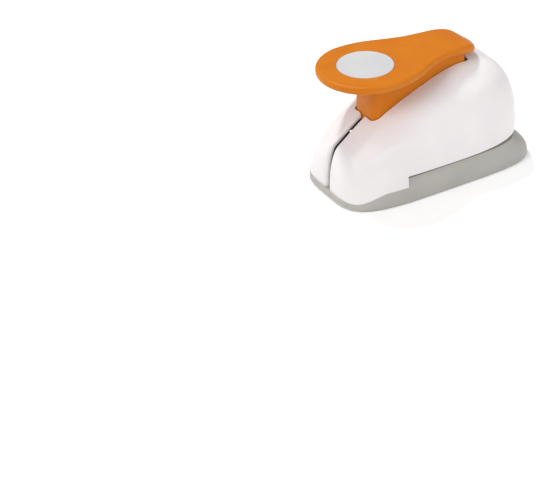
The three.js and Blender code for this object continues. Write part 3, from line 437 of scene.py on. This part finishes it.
whole = housing_whole()
halves = {name: housing_half(whole, side, f"{name}_skin")
          for side, name in ((-1, "housing_right"), (1, "housing_left"))}
bpy.data.objects.remove(whole)
for name, half in halves.items():
    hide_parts(name)

# %% [markdown]
# The foot is a shallow tray turned over: a rounded lower edge, a nearly upright wall, a soft shoulder and a
# slope up to the table. The wall stands on the plan outline and the slope ends on the smaller outline of the
# table, so the slope is steep along the flanks and long at the tail. The shoulder between them is a quadratic
# Bezier curve about the corner where they would meet, which is how such a moulding loses its hard edge.

# %% The foot's outside
FOOT_NOSE_X, FOOT_TAIL_X, FOOT_HALF = -50.0, 50.0, 27.0
FOOT_EDGE, FOOT_DRAFT = 1.5, 0.25
TABLE_NOSE_X, TABLE_TAIL_X, TABLE_HALF = -47.8, 42.6, 24.8
SHOULDER_LOW, SHOULDER_HIGH = 3.4, 0.75
shoulder_drop_at = smooth_line([(STEP_X, 0.2), (10, 2.0), (FOOT_TAIL_X, 1.6)])


def foot_outside():
    """Rows: lower quarter round, wall, (1-t)^2 low + 2t(1-t) corner + t^2 high, and the slope to the table."""
    turn = np.pi + 2 * np.pi * np.arange(360) / 360

    def ring(inset, height_at):
        x, y = plan_ring(FOOT_NOSE_X, FOOT_TAIL_X, FOOT_HALF, 4, 4.6, inset, turn)
        return np.stack([x, y, height_at(x) + 0 * x], -1)

    bend = np.linspace(0, np.pi / 2, 7)
    edge = [ring(FOOT_EDGE * (1 - np.sin(b)), lambda x, b=b: FOOT_EDGE * (1 - np.cos(b))) for b in bend]
    corner = ring(FOOT_DRAFT, lambda x: ledge_at(x) - shoulder_drop_at(x))
    x, y = plan_ring(TABLE_NOSE_X, TABLE_TAIL_X, TABLE_HALF, 4, 4.6, 0, turn)
    table = np.stack([x, y, np.full_like(x, TABLE)], -1)
    low = corner - np.stack([0 * x, 0 * x, np.minimum(SHOULDER_LOW, 0.5 * corner[:, 2])], -1)
    high = corner + SHOULDER_HIGH * (table - corner)
    shoulder = [(1 - t) ** 2 * low + 2 * t * (1 - t) * corner + t * t * high for t in np.linspace(0, 1, 14)]
    return skin("foot_outside", [*edge, *shoulder, table])


# %% [markdown]
# From below, the foot shows what every such moulding has: hollows between ribs, so that the plastic sets
# evenly, a wall round the chip window and a boss for each screw. We first make the one big hollow, take
# ribs and bosses out of it, and cut what is left of it from the foot.

# %% The foot's underside and pockets
DIE_SCREWS = [(-31.5, -14.6), (13.0, -14.6), (-31.5, 14.6), (13.0, 14.6)]
RIVETS = [(-31.5, -7.0), (-31.5, 7.0)]
HOLLOW_TAIL_X, HOLLOW_TOP, FOOT_WALL = 44.0, 8, 2.4
RIB_HALF, RIB_PITCH, CROSS_RIBS_X = 0.7, 8.5, (-37.9, STEP_X, 19.4, 27.9, 36.4)
WINDOW_RADIUS, WINDOW_WALL, DIE_SCREW_POST, RIVET_BED = 14.2, 16.6, 3.4, 2.8


def foot_hollows():
    """The hollow within the wall and under the ledge, less cross ribs, long ribs, bosses and window wall."""
    turn = np.pi + 2 * np.pi * np.arange(120) / 120
    x, y = plan_ring(FOOT_NOSE_X, HOLLOW_TAIL_X, FOOT_HALF, 4, 4.6, FOOT_WALL, turn)
    hollow = prism("hollow", np.stack([x, y], -1), -1, HOLLOW_TOP)
    carve(hollow, side_prism("under", -FOOT_WALL, 0, HOLLOW_TOP, -3, 60), how="INTERSECT")
    ribs = [box_piece("rib", (x - RIB_HALF, -60, -3), (x + RIB_HALF, 60, 12)) for x in CROSS_RIBS_X]
    ribs += [box_piece("rib", (-70, y - RIB_HALF, -3), (70, y + RIB_HALF, 12))
             for y in (RIB_PITCH * k for k in (-1.5, -0.5, 0.5, 1.5))]
    bosses = [upright_pin("boss", p, FOOT_SCREW_POST, -3, 12) for p in FOOT_SCREWS]
    bosses += [upright_pin("boss", p, DIE_SCREW_POST, -3, 12) for p in DIE_SCREWS]
    return carve(hollow, *ribs, *bosses, upright_pin("wall", (CUT_X, 0), WINDOW_WALL, -3, 12, 96))


def foot_piece():
    """Outside, within the side line and the neck, less hollows, die bed, window, screw holes and rivet holes."""
    below = side_prism("below", 0, 0, TABLE + 2, -1, 60)
    neck = box_piece("neck", (-36.7, -19.8, -1.5), (STEP_X + 1, 19.8, TABLE + 3))
    foot = carve(foot_outside(), carve(below, neck, how="UNION"), how="INTERSECT")
    bed = prism("bed", rounded_ring(-35.8, 17.3, 18.9, 3, 3), TABLE - 1.5, TABLE + 1)
    screws = []
    for places, sink, head, shank in ((FOOT_SCREWS, 1.2, 5.0, 2.6), (DIE_SCREWS, 4.0, 4.6, 2.4)):
        for place in places:
            screws += [upright_pin("head", place, head / 2 + 0.3, -1, sink + 0.1),
                       upright_pin("shank", place, shank / 2 + 0.1, -1, 14)]
    rivets = [upright_pin("rivet", p, RIVET_BED, TABLE - 2.7, TABLE + 1) for p in RIVETS]
    window = upright_pin("window", (CUT_X, 0), WINDOW_RADIUS, -2, 14, 96)
    return carve(foot, foot_hollows(), bed, window, *screws, *rivets)


foot = foot_piece()
foot.name = "foot_skin"
smooth(foot, 32)
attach(foot, "body")
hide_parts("foot")

# %% [markdown]
# The lever is one moulding: a round pad, a waist and a tail that curls down, on a box-shaped skirt.
# Its outline is an arc and two Bezier curves. Rows go round that outline: in from the middle of the
# underside, round the rim in a quarter circle, up, round again and in to the middle of the top.

# %% The lever's plate
PAD_X, PAD_RADIUS, PAD_TOP, PLATE = -27.95, 21.9, 59.6, 3.7
HUMP_X, HUMP_HALF, HUMP_TOP = 8.6, 11.6, 60.7
TIP_BACK, TIP_DROP, TIP_THICK, EDGE = 18.9, 4.1, 2.2, 1.3
TIP_X = HUMP_X + TIP_BACK


def bezier(a, b, c, d, t):
    """A cubic Bezier curve through a and d, pulled towards b and c."""
    t = t[:, None]
    return ((1 - t) ** 3 * np.array(a) + 3 * t * (1 - t) ** 2 * np.array(b)
            + 3 * t * t * (1 - t) * np.array(c) + t ** 3 * np.array(d))


def lever_outline(fine):
    """Half of the outline, from the nose of the pad to the tip of the tail, on the side of positive y."""
    t = np.linspace(0, 1, fine + 1)[1:]
    reach = HUMP_X - PAD_X
    arc = np.pi - np.pi / 2 * np.linspace(0, 1, fine + 1)
    pad = np.stack([PAD_X + PAD_RADIUS * np.cos(arc), PAD_RADIUS * np.sin(arc)], -1)
    waist = bezier((PAD_X, PAD_RADIUS), (PAD_X + reach * 0.52, PAD_RADIUS),
                   (PAD_X + reach * 0.63, HUMP_HALF * 1.04), (HUMP_X + TIP_BACK * 0.17, HUMP_HALF), t)
    tail = bezier((HUMP_X + TIP_BACK * 0.17, HUMP_HALF), (HUMP_X + TIP_BACK * 0.68, HUMP_HALF * 0.97),
                  (TIP_X, HUMP_HALF * 0.78), (TIP_X, 0), t)
    return np.concatenate([pad, waist, tail])


def plate_line(thick, tip_thick, falls):
    """The height of the plate's top or underside along the lever."""
    return smooth_line([(PAD_X - PAD_RADIUS, PAD_TOP - thick), (PAD_X + PAD_RADIUS * 0.65, PAD_TOP - thick),
                        (HUMP_X, HUMP_TOP - thick),
                        *[(HUMP_X + TIP_BACK * a, HUMP_TOP - thick - TIP_DROP * f) for a, f in falls],
                        (TIP_X, HUMP_TOP - TIP_DROP - tip_thick)])


plate_top_at = plate_line(0, 0, [(0.42, 0.1), (0.72, 0.36)])
plate_under_at = plate_line(PLATE, TIP_THICK, [(0.45, 0.22), (0.75, 0.55)])


def lever_ring(inset, share, squeeze=1.0, fine=60):
    """The outline moved in along its normals, at a share of the plate's height, squeezed to the middle."""
    half = lever_outline(fine)
    around = np.concatenate([[half[1] * (1, -1)], half, [half[-2] * (1, -1)]])
    step = around[2:] - around[:-2]
    normal = np.stack([-step[:, 1], step[:, 0]], -1)
    normal /= np.linalg.norm(normal, axis=1)[:, None]
    moved = half - normal * inset
    moved[[0, -1], 1] = 0
    ring = np.concatenate([moved * (1, -1), moved[-2:0:-1]])
    low, high = plate_under_at(ring[:, 0]), plate_top_at(ring[:, 0])
    return np.column_stack([ring[:, 0], ring[:, 1] * squeeze, low + (high - low) * share])


def lever_plate():
    """The plate's skin: underside, lower round, rim, upper round and top."""
    bend = np.linspace(0, np.pi / 2, 8)
    under = [lever_ring(EDGE, 0, s) for s in np.linspace(0, 1, 9)[:-1]]
    lower = [lever_ring(EDGE * (1 - np.sin(b)), EDGE / PLATE * (1 - np.cos(b))) for b in bend]
    upper = [lever_ring(EDGE * (1 - np.cos(b)), 1 - EDGE / PLATE * (1 - np.sin(b))) for b in bend]
    top = [lever_ring(EDGE, 1, s) for s in np.linspace(1, 0, 9)[1:]]
    return skin("lever_plate", [*under, *lower, *upper, *top], capped=False)


# %% [markdown]
# The skirt hangs from the plate into the slot. It is a box without a floor, closed in front by a round
# face. We draw it as two walls of one ring and cut it along its side line, so that it clears the foot.

# %% The lever's skirt
SKIRT_HALF, SKIRT_WALL, SKIRT_FRONT_X, SKIRT_ROUND, SKIRT_TAIL_X = 8.4, 2.0, -29.2, 3.6, 19.0
PIN_Z, EYE_RADIUS, PIVOT_BORE, PILL_RADIUS, PILL_HALF = 41.5, 4, 2.62, 2.25, 0.9
LEVER_RIB_PITCH = 8.4
skirt_ring = rounded_ring(SKIRT_FRONT_X, SKIRT_TAIL_X + 8, SKIRT_HALF, SKIRT_ROUND, SKIRT_ROUND)


def lever_skirt():
    """Outer box, within its side line, less the inner box, the pivot's bore and the slot of the drive pin."""
    eye = np.linspace(-np.pi / 2, 0, 12)
    top_x = np.linspace(SKIRT_TAIL_X, SKIRT_FRONT_X - 1, 30)
    side = np.concatenate([
        [(SKIRT_FRONT_X - 1, 31.0), (SKIRT_FRONT_X + 6, 31.0), (-12, 36.5)],
        np.stack([PIVOT[0] + EYE_RADIUS * np.cos(eye), PIVOT[1] + EYE_RADIUS * np.sin(eye)], -1),
        np.stack([top_x, plate_under_at(top_x) + PLATE / 3], -1),
    ])
    skirt = carve(prism("skirt", skirt_ring, 25, 70), drawn_across("line", side, -30, 30), how="INTERSECT")
    slot_x = CUT_X - 0.5
    bend = np.linspace(-np.pi / 2, np.pi / 2, 12)
    across, up = PILL_RADIUS * np.cos(bend), PILL_RADIUS * np.sin(bend)
    pill = np.concatenate([np.stack([slot_x + PILL_HALF + across, PIN_Z + up], -1),
                           np.stack([slot_x - PILL_HALF - across, PIN_Z - up], -1)])
    inside = rounded_ring(SKIRT_FRONT_X + SKIRT_WALL, 60, SKIRT_HALF - SKIRT_WALL, 1.6, 1.6)
    return carve(skirt, prism("inside", inside, 20, 80), cross_pin("bore", PIVOT, PIVOT_BORE, -30, 30),
                 drawn_across("pill", pill, -30, 30))


def under_hollow():
    """The shallow hollow under the pad, as deep everywhere as the underside is high, with its ribs left out."""
    inner = lever_ring(2.0, 0)
    low, high = inner.copy(), inner.copy()
    low[:, 2] -= 1
    high[:, 2] += 1.1
    squeezed = [np.column_stack([high[:, 0], high[:, 1] * s, high[:, 2]]) for s in np.linspace(0.9, 0, 8)]
    hollow = skin("hollow", [low, high, *squeezed])
    steps = [LEVER_RIB_PITCH * i for i in (-1, 0, 1)]
    ribs = [box_piece("rib", (-60, y - RIB_HALF, 0), (60, y + RIB_HALF, 70)) for y in steps]
    ribs += [box_piece("rib", (SKIRT_FRONT_X + x - RIB_HALF, -40, 0), (SKIRT_FRONT_X + x + RIB_HALF, 40, 70))
             for x in steps]
    tail = box_piece("tail", (SKIRT_FRONT_X + PAD_RADIUS, -40, 0), (60, 40, 80))
    return carve(hollow, prism("keep", skirt_ring, 20, 80), tail, *ribs)


def lever_piece():
    """Plate and skirt joined, less the hollow underneath and the bed of the badge."""
    bed = circle(PAD_X, 0, CUT_RADIUS + 0.12, 128)
    lever = carve(lever_plate(), under_hollow())
    carve(lever, lever_skirt(), how="UNION")
    return carve(lever, prism("bed", bed, PAD_TOP - 1.2, 70))


lever = lever_piece()
lever.name = "lever_skin"
smooth(lever, 40)
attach(lever, "lever")
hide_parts("lever")

# %% [markdown]
# The badge shows the shape that the punch cuts, here a plain round, in the size of the cut.
# It is turned like a coin: a profile of radius and height, carried once round the upright axis.

# %% The badge
def turned_piece(name, x, y, profile, around=160):
    """A surface of revolution about an upright axis: each profile point becomes a ring."""
    turn = 2 * np.pi * np.arange(around) / around
    rows = [np.stack([x + r * np.cos(turn), y + r * np.sin(turn), np.full(around, z)], -1) for r, z in profile]
    return skin(name, rows, capped=False)


badge_top = PAD_TOP + 0.25
badge = turned_piece("badge_face", PAD_X, 0, [
    (0, badge_top - 1.4), (CUT_RADIUS, badge_top - 1.4), (CUT_RADIUS, badge_top - 0.3),
    (12.62, badge_top - 0.1), (12.4, badge_top), (12.0, badge_top), (11.86, badge_top - 0.06),
    (11.7, badge_top - 0.08),
    (8, badge_top - 0.08), (4, badge_top - 0.08), (0, badge_top - 0.08),
])
smooth(badge, 30)
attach(badge, "lever")
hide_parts("badge_disc")

# %% [markdown]
# A return spring is wound from round wire on a mandrel: three open turns, and one closed turn at each end so
# that it stands flat. We drag a ring of points along the coil's centre line. On the punch the two springs
# flatten with the stroke, down to a little under six tenths of their length, as the wings come 4.6 mm down.
# Here they are made at their full length.

# %% The return springs
COIL_RADIUS, WIRE_RADIUS, COIL_TURNS, END_RISE = 3.0, 0.4, 5, 0.92
SPRING_LOW, SPRING_HIGH, SPRING_KEEP = 15.6, 26.9, 0.58


def coil(name, x, y):
    """Ring of wire about the line (R cos t, R sin t, h(t)). h rises little over each end turn, evenly between."""
    share = np.linspace(0, 1, COIL_TURNS * 40 + 1)
    turn = 2 * np.pi * COIL_TURNS * share
    low, high = SPRING_LOW + WIRE_RADIUS, SPRING_HIGH - WIRE_RADIUS
    ends = (0, 1 / COIL_TURNS, 1 - 1 / COIL_TURNS, 1)
    rise = np.interp(share, ends, (low, low + END_RISE, high - END_RISE, high))
    out = np.stack([np.cos(turn), np.sin(turn), 0 * turn], -1)
    line = out * COIL_RADIUS + np.stack([0 * turn, 0 * turn, rise], -1)
    along = np.gradient(line, axis=0)
    along /= np.linalg.norm(along, axis=1)[:, None]
    across = np.cross(along, out)
    ring = 2 * np.pi * np.arange(14) / 14
    wire = out[:, None] * np.cos(ring)[None, :, None] + across[:, None] * np.sin(ring)[None, :, None]
    return skin(name, line[:, None] + WIRE_RADIUS * wire + (x, y, 0))


springs = {}
for side, place in (("left", POST_Y), ("right", -POST_Y)):
    spring = coil(f"return_spring_{side}_coil", CUT_X, place)
    smooth(spring, 50)
    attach(spring, "body")
    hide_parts(f"return_spring_{side}")
    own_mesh(spring)
    springs[side] = spring
print("springs", {side: len(spring.data.polygons) for side, spring in springs.items()})

# %% [markdown]
# Moulded plastic is never one flat colour. The tool's surface leaves a fine grain, the colour drifts a
# little through the piece, and hands polish it unevenly. Three noises at three sizes give these: a wide one
# for the colour, a middle one for the gloss and a fine one for the grain. They read Object coordinates,
# so that the pattern stays put on the piece when it moves.

# %% Moulded plastics
def linear(r, g, b):
    """An sRGB colour of 0 to 255 as Blender's linear light."""
    c = np.array([r, g, b]) / 255
    return (*np.where(c <= 0.04045, c / 12.92, ((c + 0.055) / 1.055) ** 2.4), 1.0)


class Finish:
    """A material with its nodes close at hand."""

    def __init__(self, name):
        self.material = bpy.data.materials.new(name)
        self.material.use_nodes = True
        self.tree = self.material.node_tree
        self.shader = self.tree.nodes["Principled BSDF"]
        self.coords = self.tree.nodes.new("ShaderNodeTexCoord").outputs["Object"]

    def node(self, kind, inputs=(), **settings):
        """Adds a node, sets its properties and its inputs, and links inputs that are sockets."""
        node = self.tree.nodes.new(kind)
        for key, value in settings.items():
            setattr(node, key, value)
        for key, value in dict(inputs).items():
            if isinstance(value, bpy.types.NodeSocket):
                self.tree.links.new(value, node.inputs[key])
            else:
                node.inputs[key].default_value = value
        return node

    def noise(self, size, detail, stretch=(1, 1, 1)):
        """Noise whose features are about size millimetres across, stretched along the axes."""
        place = self.node("ShaderNodeMapping", {"Vector": self.coords, "Scale": stretch})
        return self.node("ShaderNodeTexNoise", {
            "Vector": place.outputs["Vector"], "Scale": 1 / (size * MM), "Detail": detail}).outputs["Fac"]

    def between(self, value, low, high, start=0.35, end=0.65):
        """The value's range from start to end spread over low to high."""
        spread = {"Value": value, "From Min": start, "From Max": end, "To Min": low, "To Max": high}
        return self.node("ShaderNodeMapRange", spread).outputs["Result"]

    def mix(self, share, one, other):
        """A colour between two colours."""
        node = self.node("ShaderNodeMix", data_type="RGBA")
        self.tree.links.new(share, node.inputs[0])
        node.inputs[6].default_value, node.inputs[7].default_value = one, other
        return node.outputs[2]

    def bump(self, height, depth):
        """A bump of depth millimetres from a height of 0 to 1."""
        inputs = {"Height": height, "Distance": depth * MM, "Strength": 1.0}
        return self.node("ShaderNodeBump", inputs).outputs["Normal"]

    def to_shader(self, **links):
        """Links outputs to the shader's inputs."""
        for key, value in links.items():
            self.tree.links.new(value, self.shader.inputs[key.replace("_", " ")])
        return self.material


def moulded(name, colour, drift, rough, grain, grain_depth, shine=0.3):
    """Moulded plastic: colour and its drift, a range of roughness, and the size and depth of its grain."""
    f = Finish(name)
    f.shader.inputs["Specular IOR Level"].default_value = shine
    wide = f.between(f.noise(14, 2), 0, 1)
    colour_now = f.mix(wide, linear(*colour), linear(*[c + d for c, d in zip(colour, drift)]))
    gloss = f.between(f.noise(3.5, 4), *rough)
    grainy = f.bump(f.noise(grain, 2), grain_depth)
    return f.to_shader(Base_Color=colour_now, Roughness=gloss, Normal=grainy)


orange = moulded("orange_plastic", (203, 116, 11), (-5, -6, -4), (0.4, 0.5), 0.35, 0.004, 0.2)
white = moulded("white_plastic", (231, 227, 227), (-3, -4, -3), (0.34, 0.42), 0.4, 0.002)
# The inside faces: rougher, as unpolished plastic is, and painted dark grey as painted shade for the housing's
# inside.
white_inside_painted_shade = moulded("white_plastic_painted_shade", (150, 147, 146), (-5, -5, -5), (0.55, 0.7), 0.6, 0.01)
grey = moulded("grey_plastic", (176, 174, 167), (-5, -5, -4), (0.46, 0.56), 0.3, 0.006)
pale = moulded("pale_plastic", (201, 201, 202), (-4, -4, -3), (0.4, 0.48), 0.3, 0.003)
black = moulded("black_plastic", (44, 44, 46), (8, 8, 8), (0.5, 0.6), 0.4, 0.006)
nylon = moulded("natural_nylon", (232, 228, 214), (-8, -8, -12), (0.5, 0.6), 0.3, 0.003)

# %% [markdown]
# The steels differ by how they were made. Plate is rolled and keeps fine lines along the strip. A cutter
# and pins are ground, with finer lines round or along them, and screws are plated and a little cloudy.

# %% Steels
def steel_finish(name, colour, drift, rough, line_size, stretch, depth):
    """Metal with lines: noise stretched along one axis drives the gloss and a shallow bump."""
    f = Finish(name)
    f.shader.inputs["Metallic"].default_value = 1.0
    lines = f.noise(line_size, 3, stretch)
    cloudy = f.between(f.noise(6, 3), 0, 1)
    colour_now = f.mix(cloudy, linear(*colour), linear(*[c + d for c, d in zip(colour, drift)]))
    return f.to_shader(Base_Color=colour_now, Roughness=f.between(lines, *rough), Normal=f.bump(lines, depth))


rolled = steel_finish("rolled_steel", (180, 182, 186), (-14, -14, -12), (0.28, 0.44), 0.5, (0.08, 1, 1), 0.003)
ground = steel_finish("ground_steel", (190, 191, 194), (-10, -10, -8), (0.2, 0.34), 0.3, (1, 1, 0.1), 0.002)
plated = steel_finish("plated_steel", (178, 180, 184), (-18, -16, -10), (0.3, 0.45), 0.8, (1, 1, 1), 0.003)
spring_wire = steel_finish("spring_wire", (140, 143, 147), (-20, -20, -18), (0.3, 0.46), 0.3, (1, 1, 1), 0.002)

# %% [markdown]
# Now every node of the frame gets its finish. The record names a material slot for each, and the slots
# tell which finish it takes. A Weld joins the frame's loose triangles, so that smooth shading can work.

# %% Finishes on the frame's own nodes
finish_of_slot = {
    "lever_plastic": orange, "housing_plastic": white, "foot_plastic": grey, "badge_plastic": pale,
    "carrier_plastic": black, "washer_nylon": nylon, "plate_steel": rolled, "cutter_steel": ground,
    "pin_steel": ground, "screw_steel": plated, "spring_steel": spring_wire,
}
for piece, finish in ((foot, grey), (lever, orange), (badge, pale)):
    piece.data.materials.append(finish)
for spring in springs.values():
    spring.data.materials.append(spring_wire)
# Slot 0 of each half takes the white. Slot 1, its inside faces, takes the white with painted shade.
for half in halves.values():
    for place, finish in enumerate((white, white_inside_painted_shade)):
        half.data.materials[place] = finish

slot_of_node = {
    "foot": "foot_plastic", "punch_carrier": "carrier_plastic", "die_plate": "plate_steel",
    "guide_plate": "plate_steel", "throat_spacer": "plate_steel", "punch_cutter": "cutter_steel",
    "housing_left": "housing_plastic", "housing_right": "housing_plastic", "lever": "lever_plastic",
    "badge_disc": "badge_plastic",
}
for name, node in nodes_of_cad.items():
    kind = slot_of_node.get(name) or next(slot for key, slot in (
        ("screw", "screw_steel"), ("rivet", "pin_steel"), ("pin", "pin_steel"), ("post", "pin_steel"),
        ("washer", "washer_nylon"), ("spring", "spring_steel")) if key in name)
    for index in range(len(node.material_slots)):
        node.material_slots[index].material = finish_of_slot[kind]
    weld = node.modifiers.new("weld", "WELD")
    weld.merge_threshold = 1e-6
    smoothing = node.modifiers.new("sharp", "EDGE_SPLIT")
    smoothing.split_angle = np.radians(35)
print("finished nodes:", len(nodes_of_cad))

# %% [markdown]
# The photograph was taken from above the nose, a little to the right. The camera stands nine hundred
# millimetres away on that line. A shift of the lens, not a turn of the camera, puts the object in the
# upper right of the picture, where the photograph has it.

# %% Camera
azimuth, elevation, distance = np.radians(-33.5), np.radians(29), 0.9
right = Vector((np.cos(azimuth), np.sin(azimuth), 0))
level = np.cos(elevation)
forward = Vector((-np.sin(azimuth) * level, np.cos(azimuth) * level, -np.sin(elevation)))
aim = Vector((-0.00045, 0, 0.030))
camera_data = bpy.data.cameras.new("camera")
camera_data.lens = 128.9
camera_data.shift_x, camera_data.shift_y = -0.2486, -0.2507
camera_data.clip_end = 10
camera = bpy.data.objects.new("camera", camera_data)
facing = Matrix((right, right.cross(forward), -forward)).transposed().to_4x4()
facing.translation = aim - forward * distance
camera.matrix_world = facing
bpy.context.scene.collection.objects.link(camera)
bpy.context.scene.camera = camera

# %% [markdown]
# A white floor and a white world make the background. The rays that the camera sends straight into the
# world see pure white, and the floor glows a little for them, while the light that the world gives to the
# object stays soft and weak. Three square lamps do the rest. A small one, high on the far side, throws the
# lever's shade on the flank. Two wide ones, at the nose and before the near flank, lift what is left.

# %% Floor and light
FLOOR_HALF, FLOOR_GLOW, WORLD_STRENGTH = 3000, 0.2, 0.32
corners = [(FLOOR_HALF * x, FLOOR_HALF * y, 0) for x, y in ((-1, -1), (1, -1), (1, 1), (-1, 1))]
floor = mesh_piece("floor", corners, [[0, 1, 2, 3]])
paper = Finish("paper_floor")
paper.shader.inputs["Roughness"].default_value = 0.9
paper.shader.inputs["Specular IOR Level"].default_value = 0.1
paper.shader.inputs["Emission Color"].default_value = (1, 1, 1, 1)
cloud = paper.between(paper.noise(60, 2), 0, 1)
rays = paper.node("ShaderNodeLightPath").outputs
seen_here = paper.node("ShaderNodeMath", {0: rays["Is Camera Ray"], 1: rays["Is Glossy Ray"]}, operation="MAXIMUM")
glow = paper.node("ShaderNodeMath", {0: seen_here.outputs[0], 1: FLOOR_GLOW}, operation="MULTIPLY")
paper.to_shader(Base_Color=paper.mix(cloud, linear(252, 252, 252), linear(250, 250, 250)),
                Emission_Strength=glow.outputs[0])
floor.data.materials.append(paper.material)

scene = bpy.context.scene
scene.view_settings.view_transform = "Standard"
world = bpy.data.worlds.new("studio")
scene.world = world
world.use_nodes = True
sky = world.node_tree
sky_light = sky.nodes["Background"]
sky_light.inputs["Color"].default_value = (1, 1, 1, 1)
sky_light.inputs["Strength"].default_value = WORLD_STRENGTH
white_sky = sky.nodes.new("ShaderNodeBackground")
white_sky.inputs["Color"].default_value = (1, 1, 1, 1)
white_sky.inputs["Strength"].default_value = 1.0
path = sky.nodes.new("ShaderNodeLightPath")
seen = sky.nodes.new("ShaderNodeMath")
seen.operation = "MAXIMUM"
sky.links.new(path.outputs["Is Camera Ray"], seen.inputs[0])
sky.links.new(path.outputs["Is Transmission Ray"], seen.inputs[1])
either = sky.nodes.new("ShaderNodeMixShader")
sky.links.new(seen.outputs[0], either.inputs[0])
sky.links.new(sky_light.outputs[0], either.inputs[1])
sky.links.new(white_sky.outputs[0], either.inputs[2])
sky.links.new(either.outputs[0], sky.nodes["World Output"].inputs["Surface"])


def soft_lamp(name, place, size, power):
    """A square area lamp at a place in metres, facing the middle of the punch."""
    data = bpy.data.lights.new(name, "AREA")
    data.size = size
    data.energy = power
    lamp = bpy.data.objects.new(name, data)
    lamp.location = place
    lamp.rotation_euler = (Vector((0, 0, 0.03)) - Vector(place)).to_track_quat("-Z", "Y").to_euler()
    bpy.context.scene.collection.objects.link(lamp)


soft_lamp("key", (-0.12, 0.5, 1.15), 0.13, 8.6)
soft_lamp("side", (-1.05, -0.25, 0.78), 0.5, 7.4)
soft_lamp("front", (0.6, -0.95, 0.65), 0.6, 6.4)
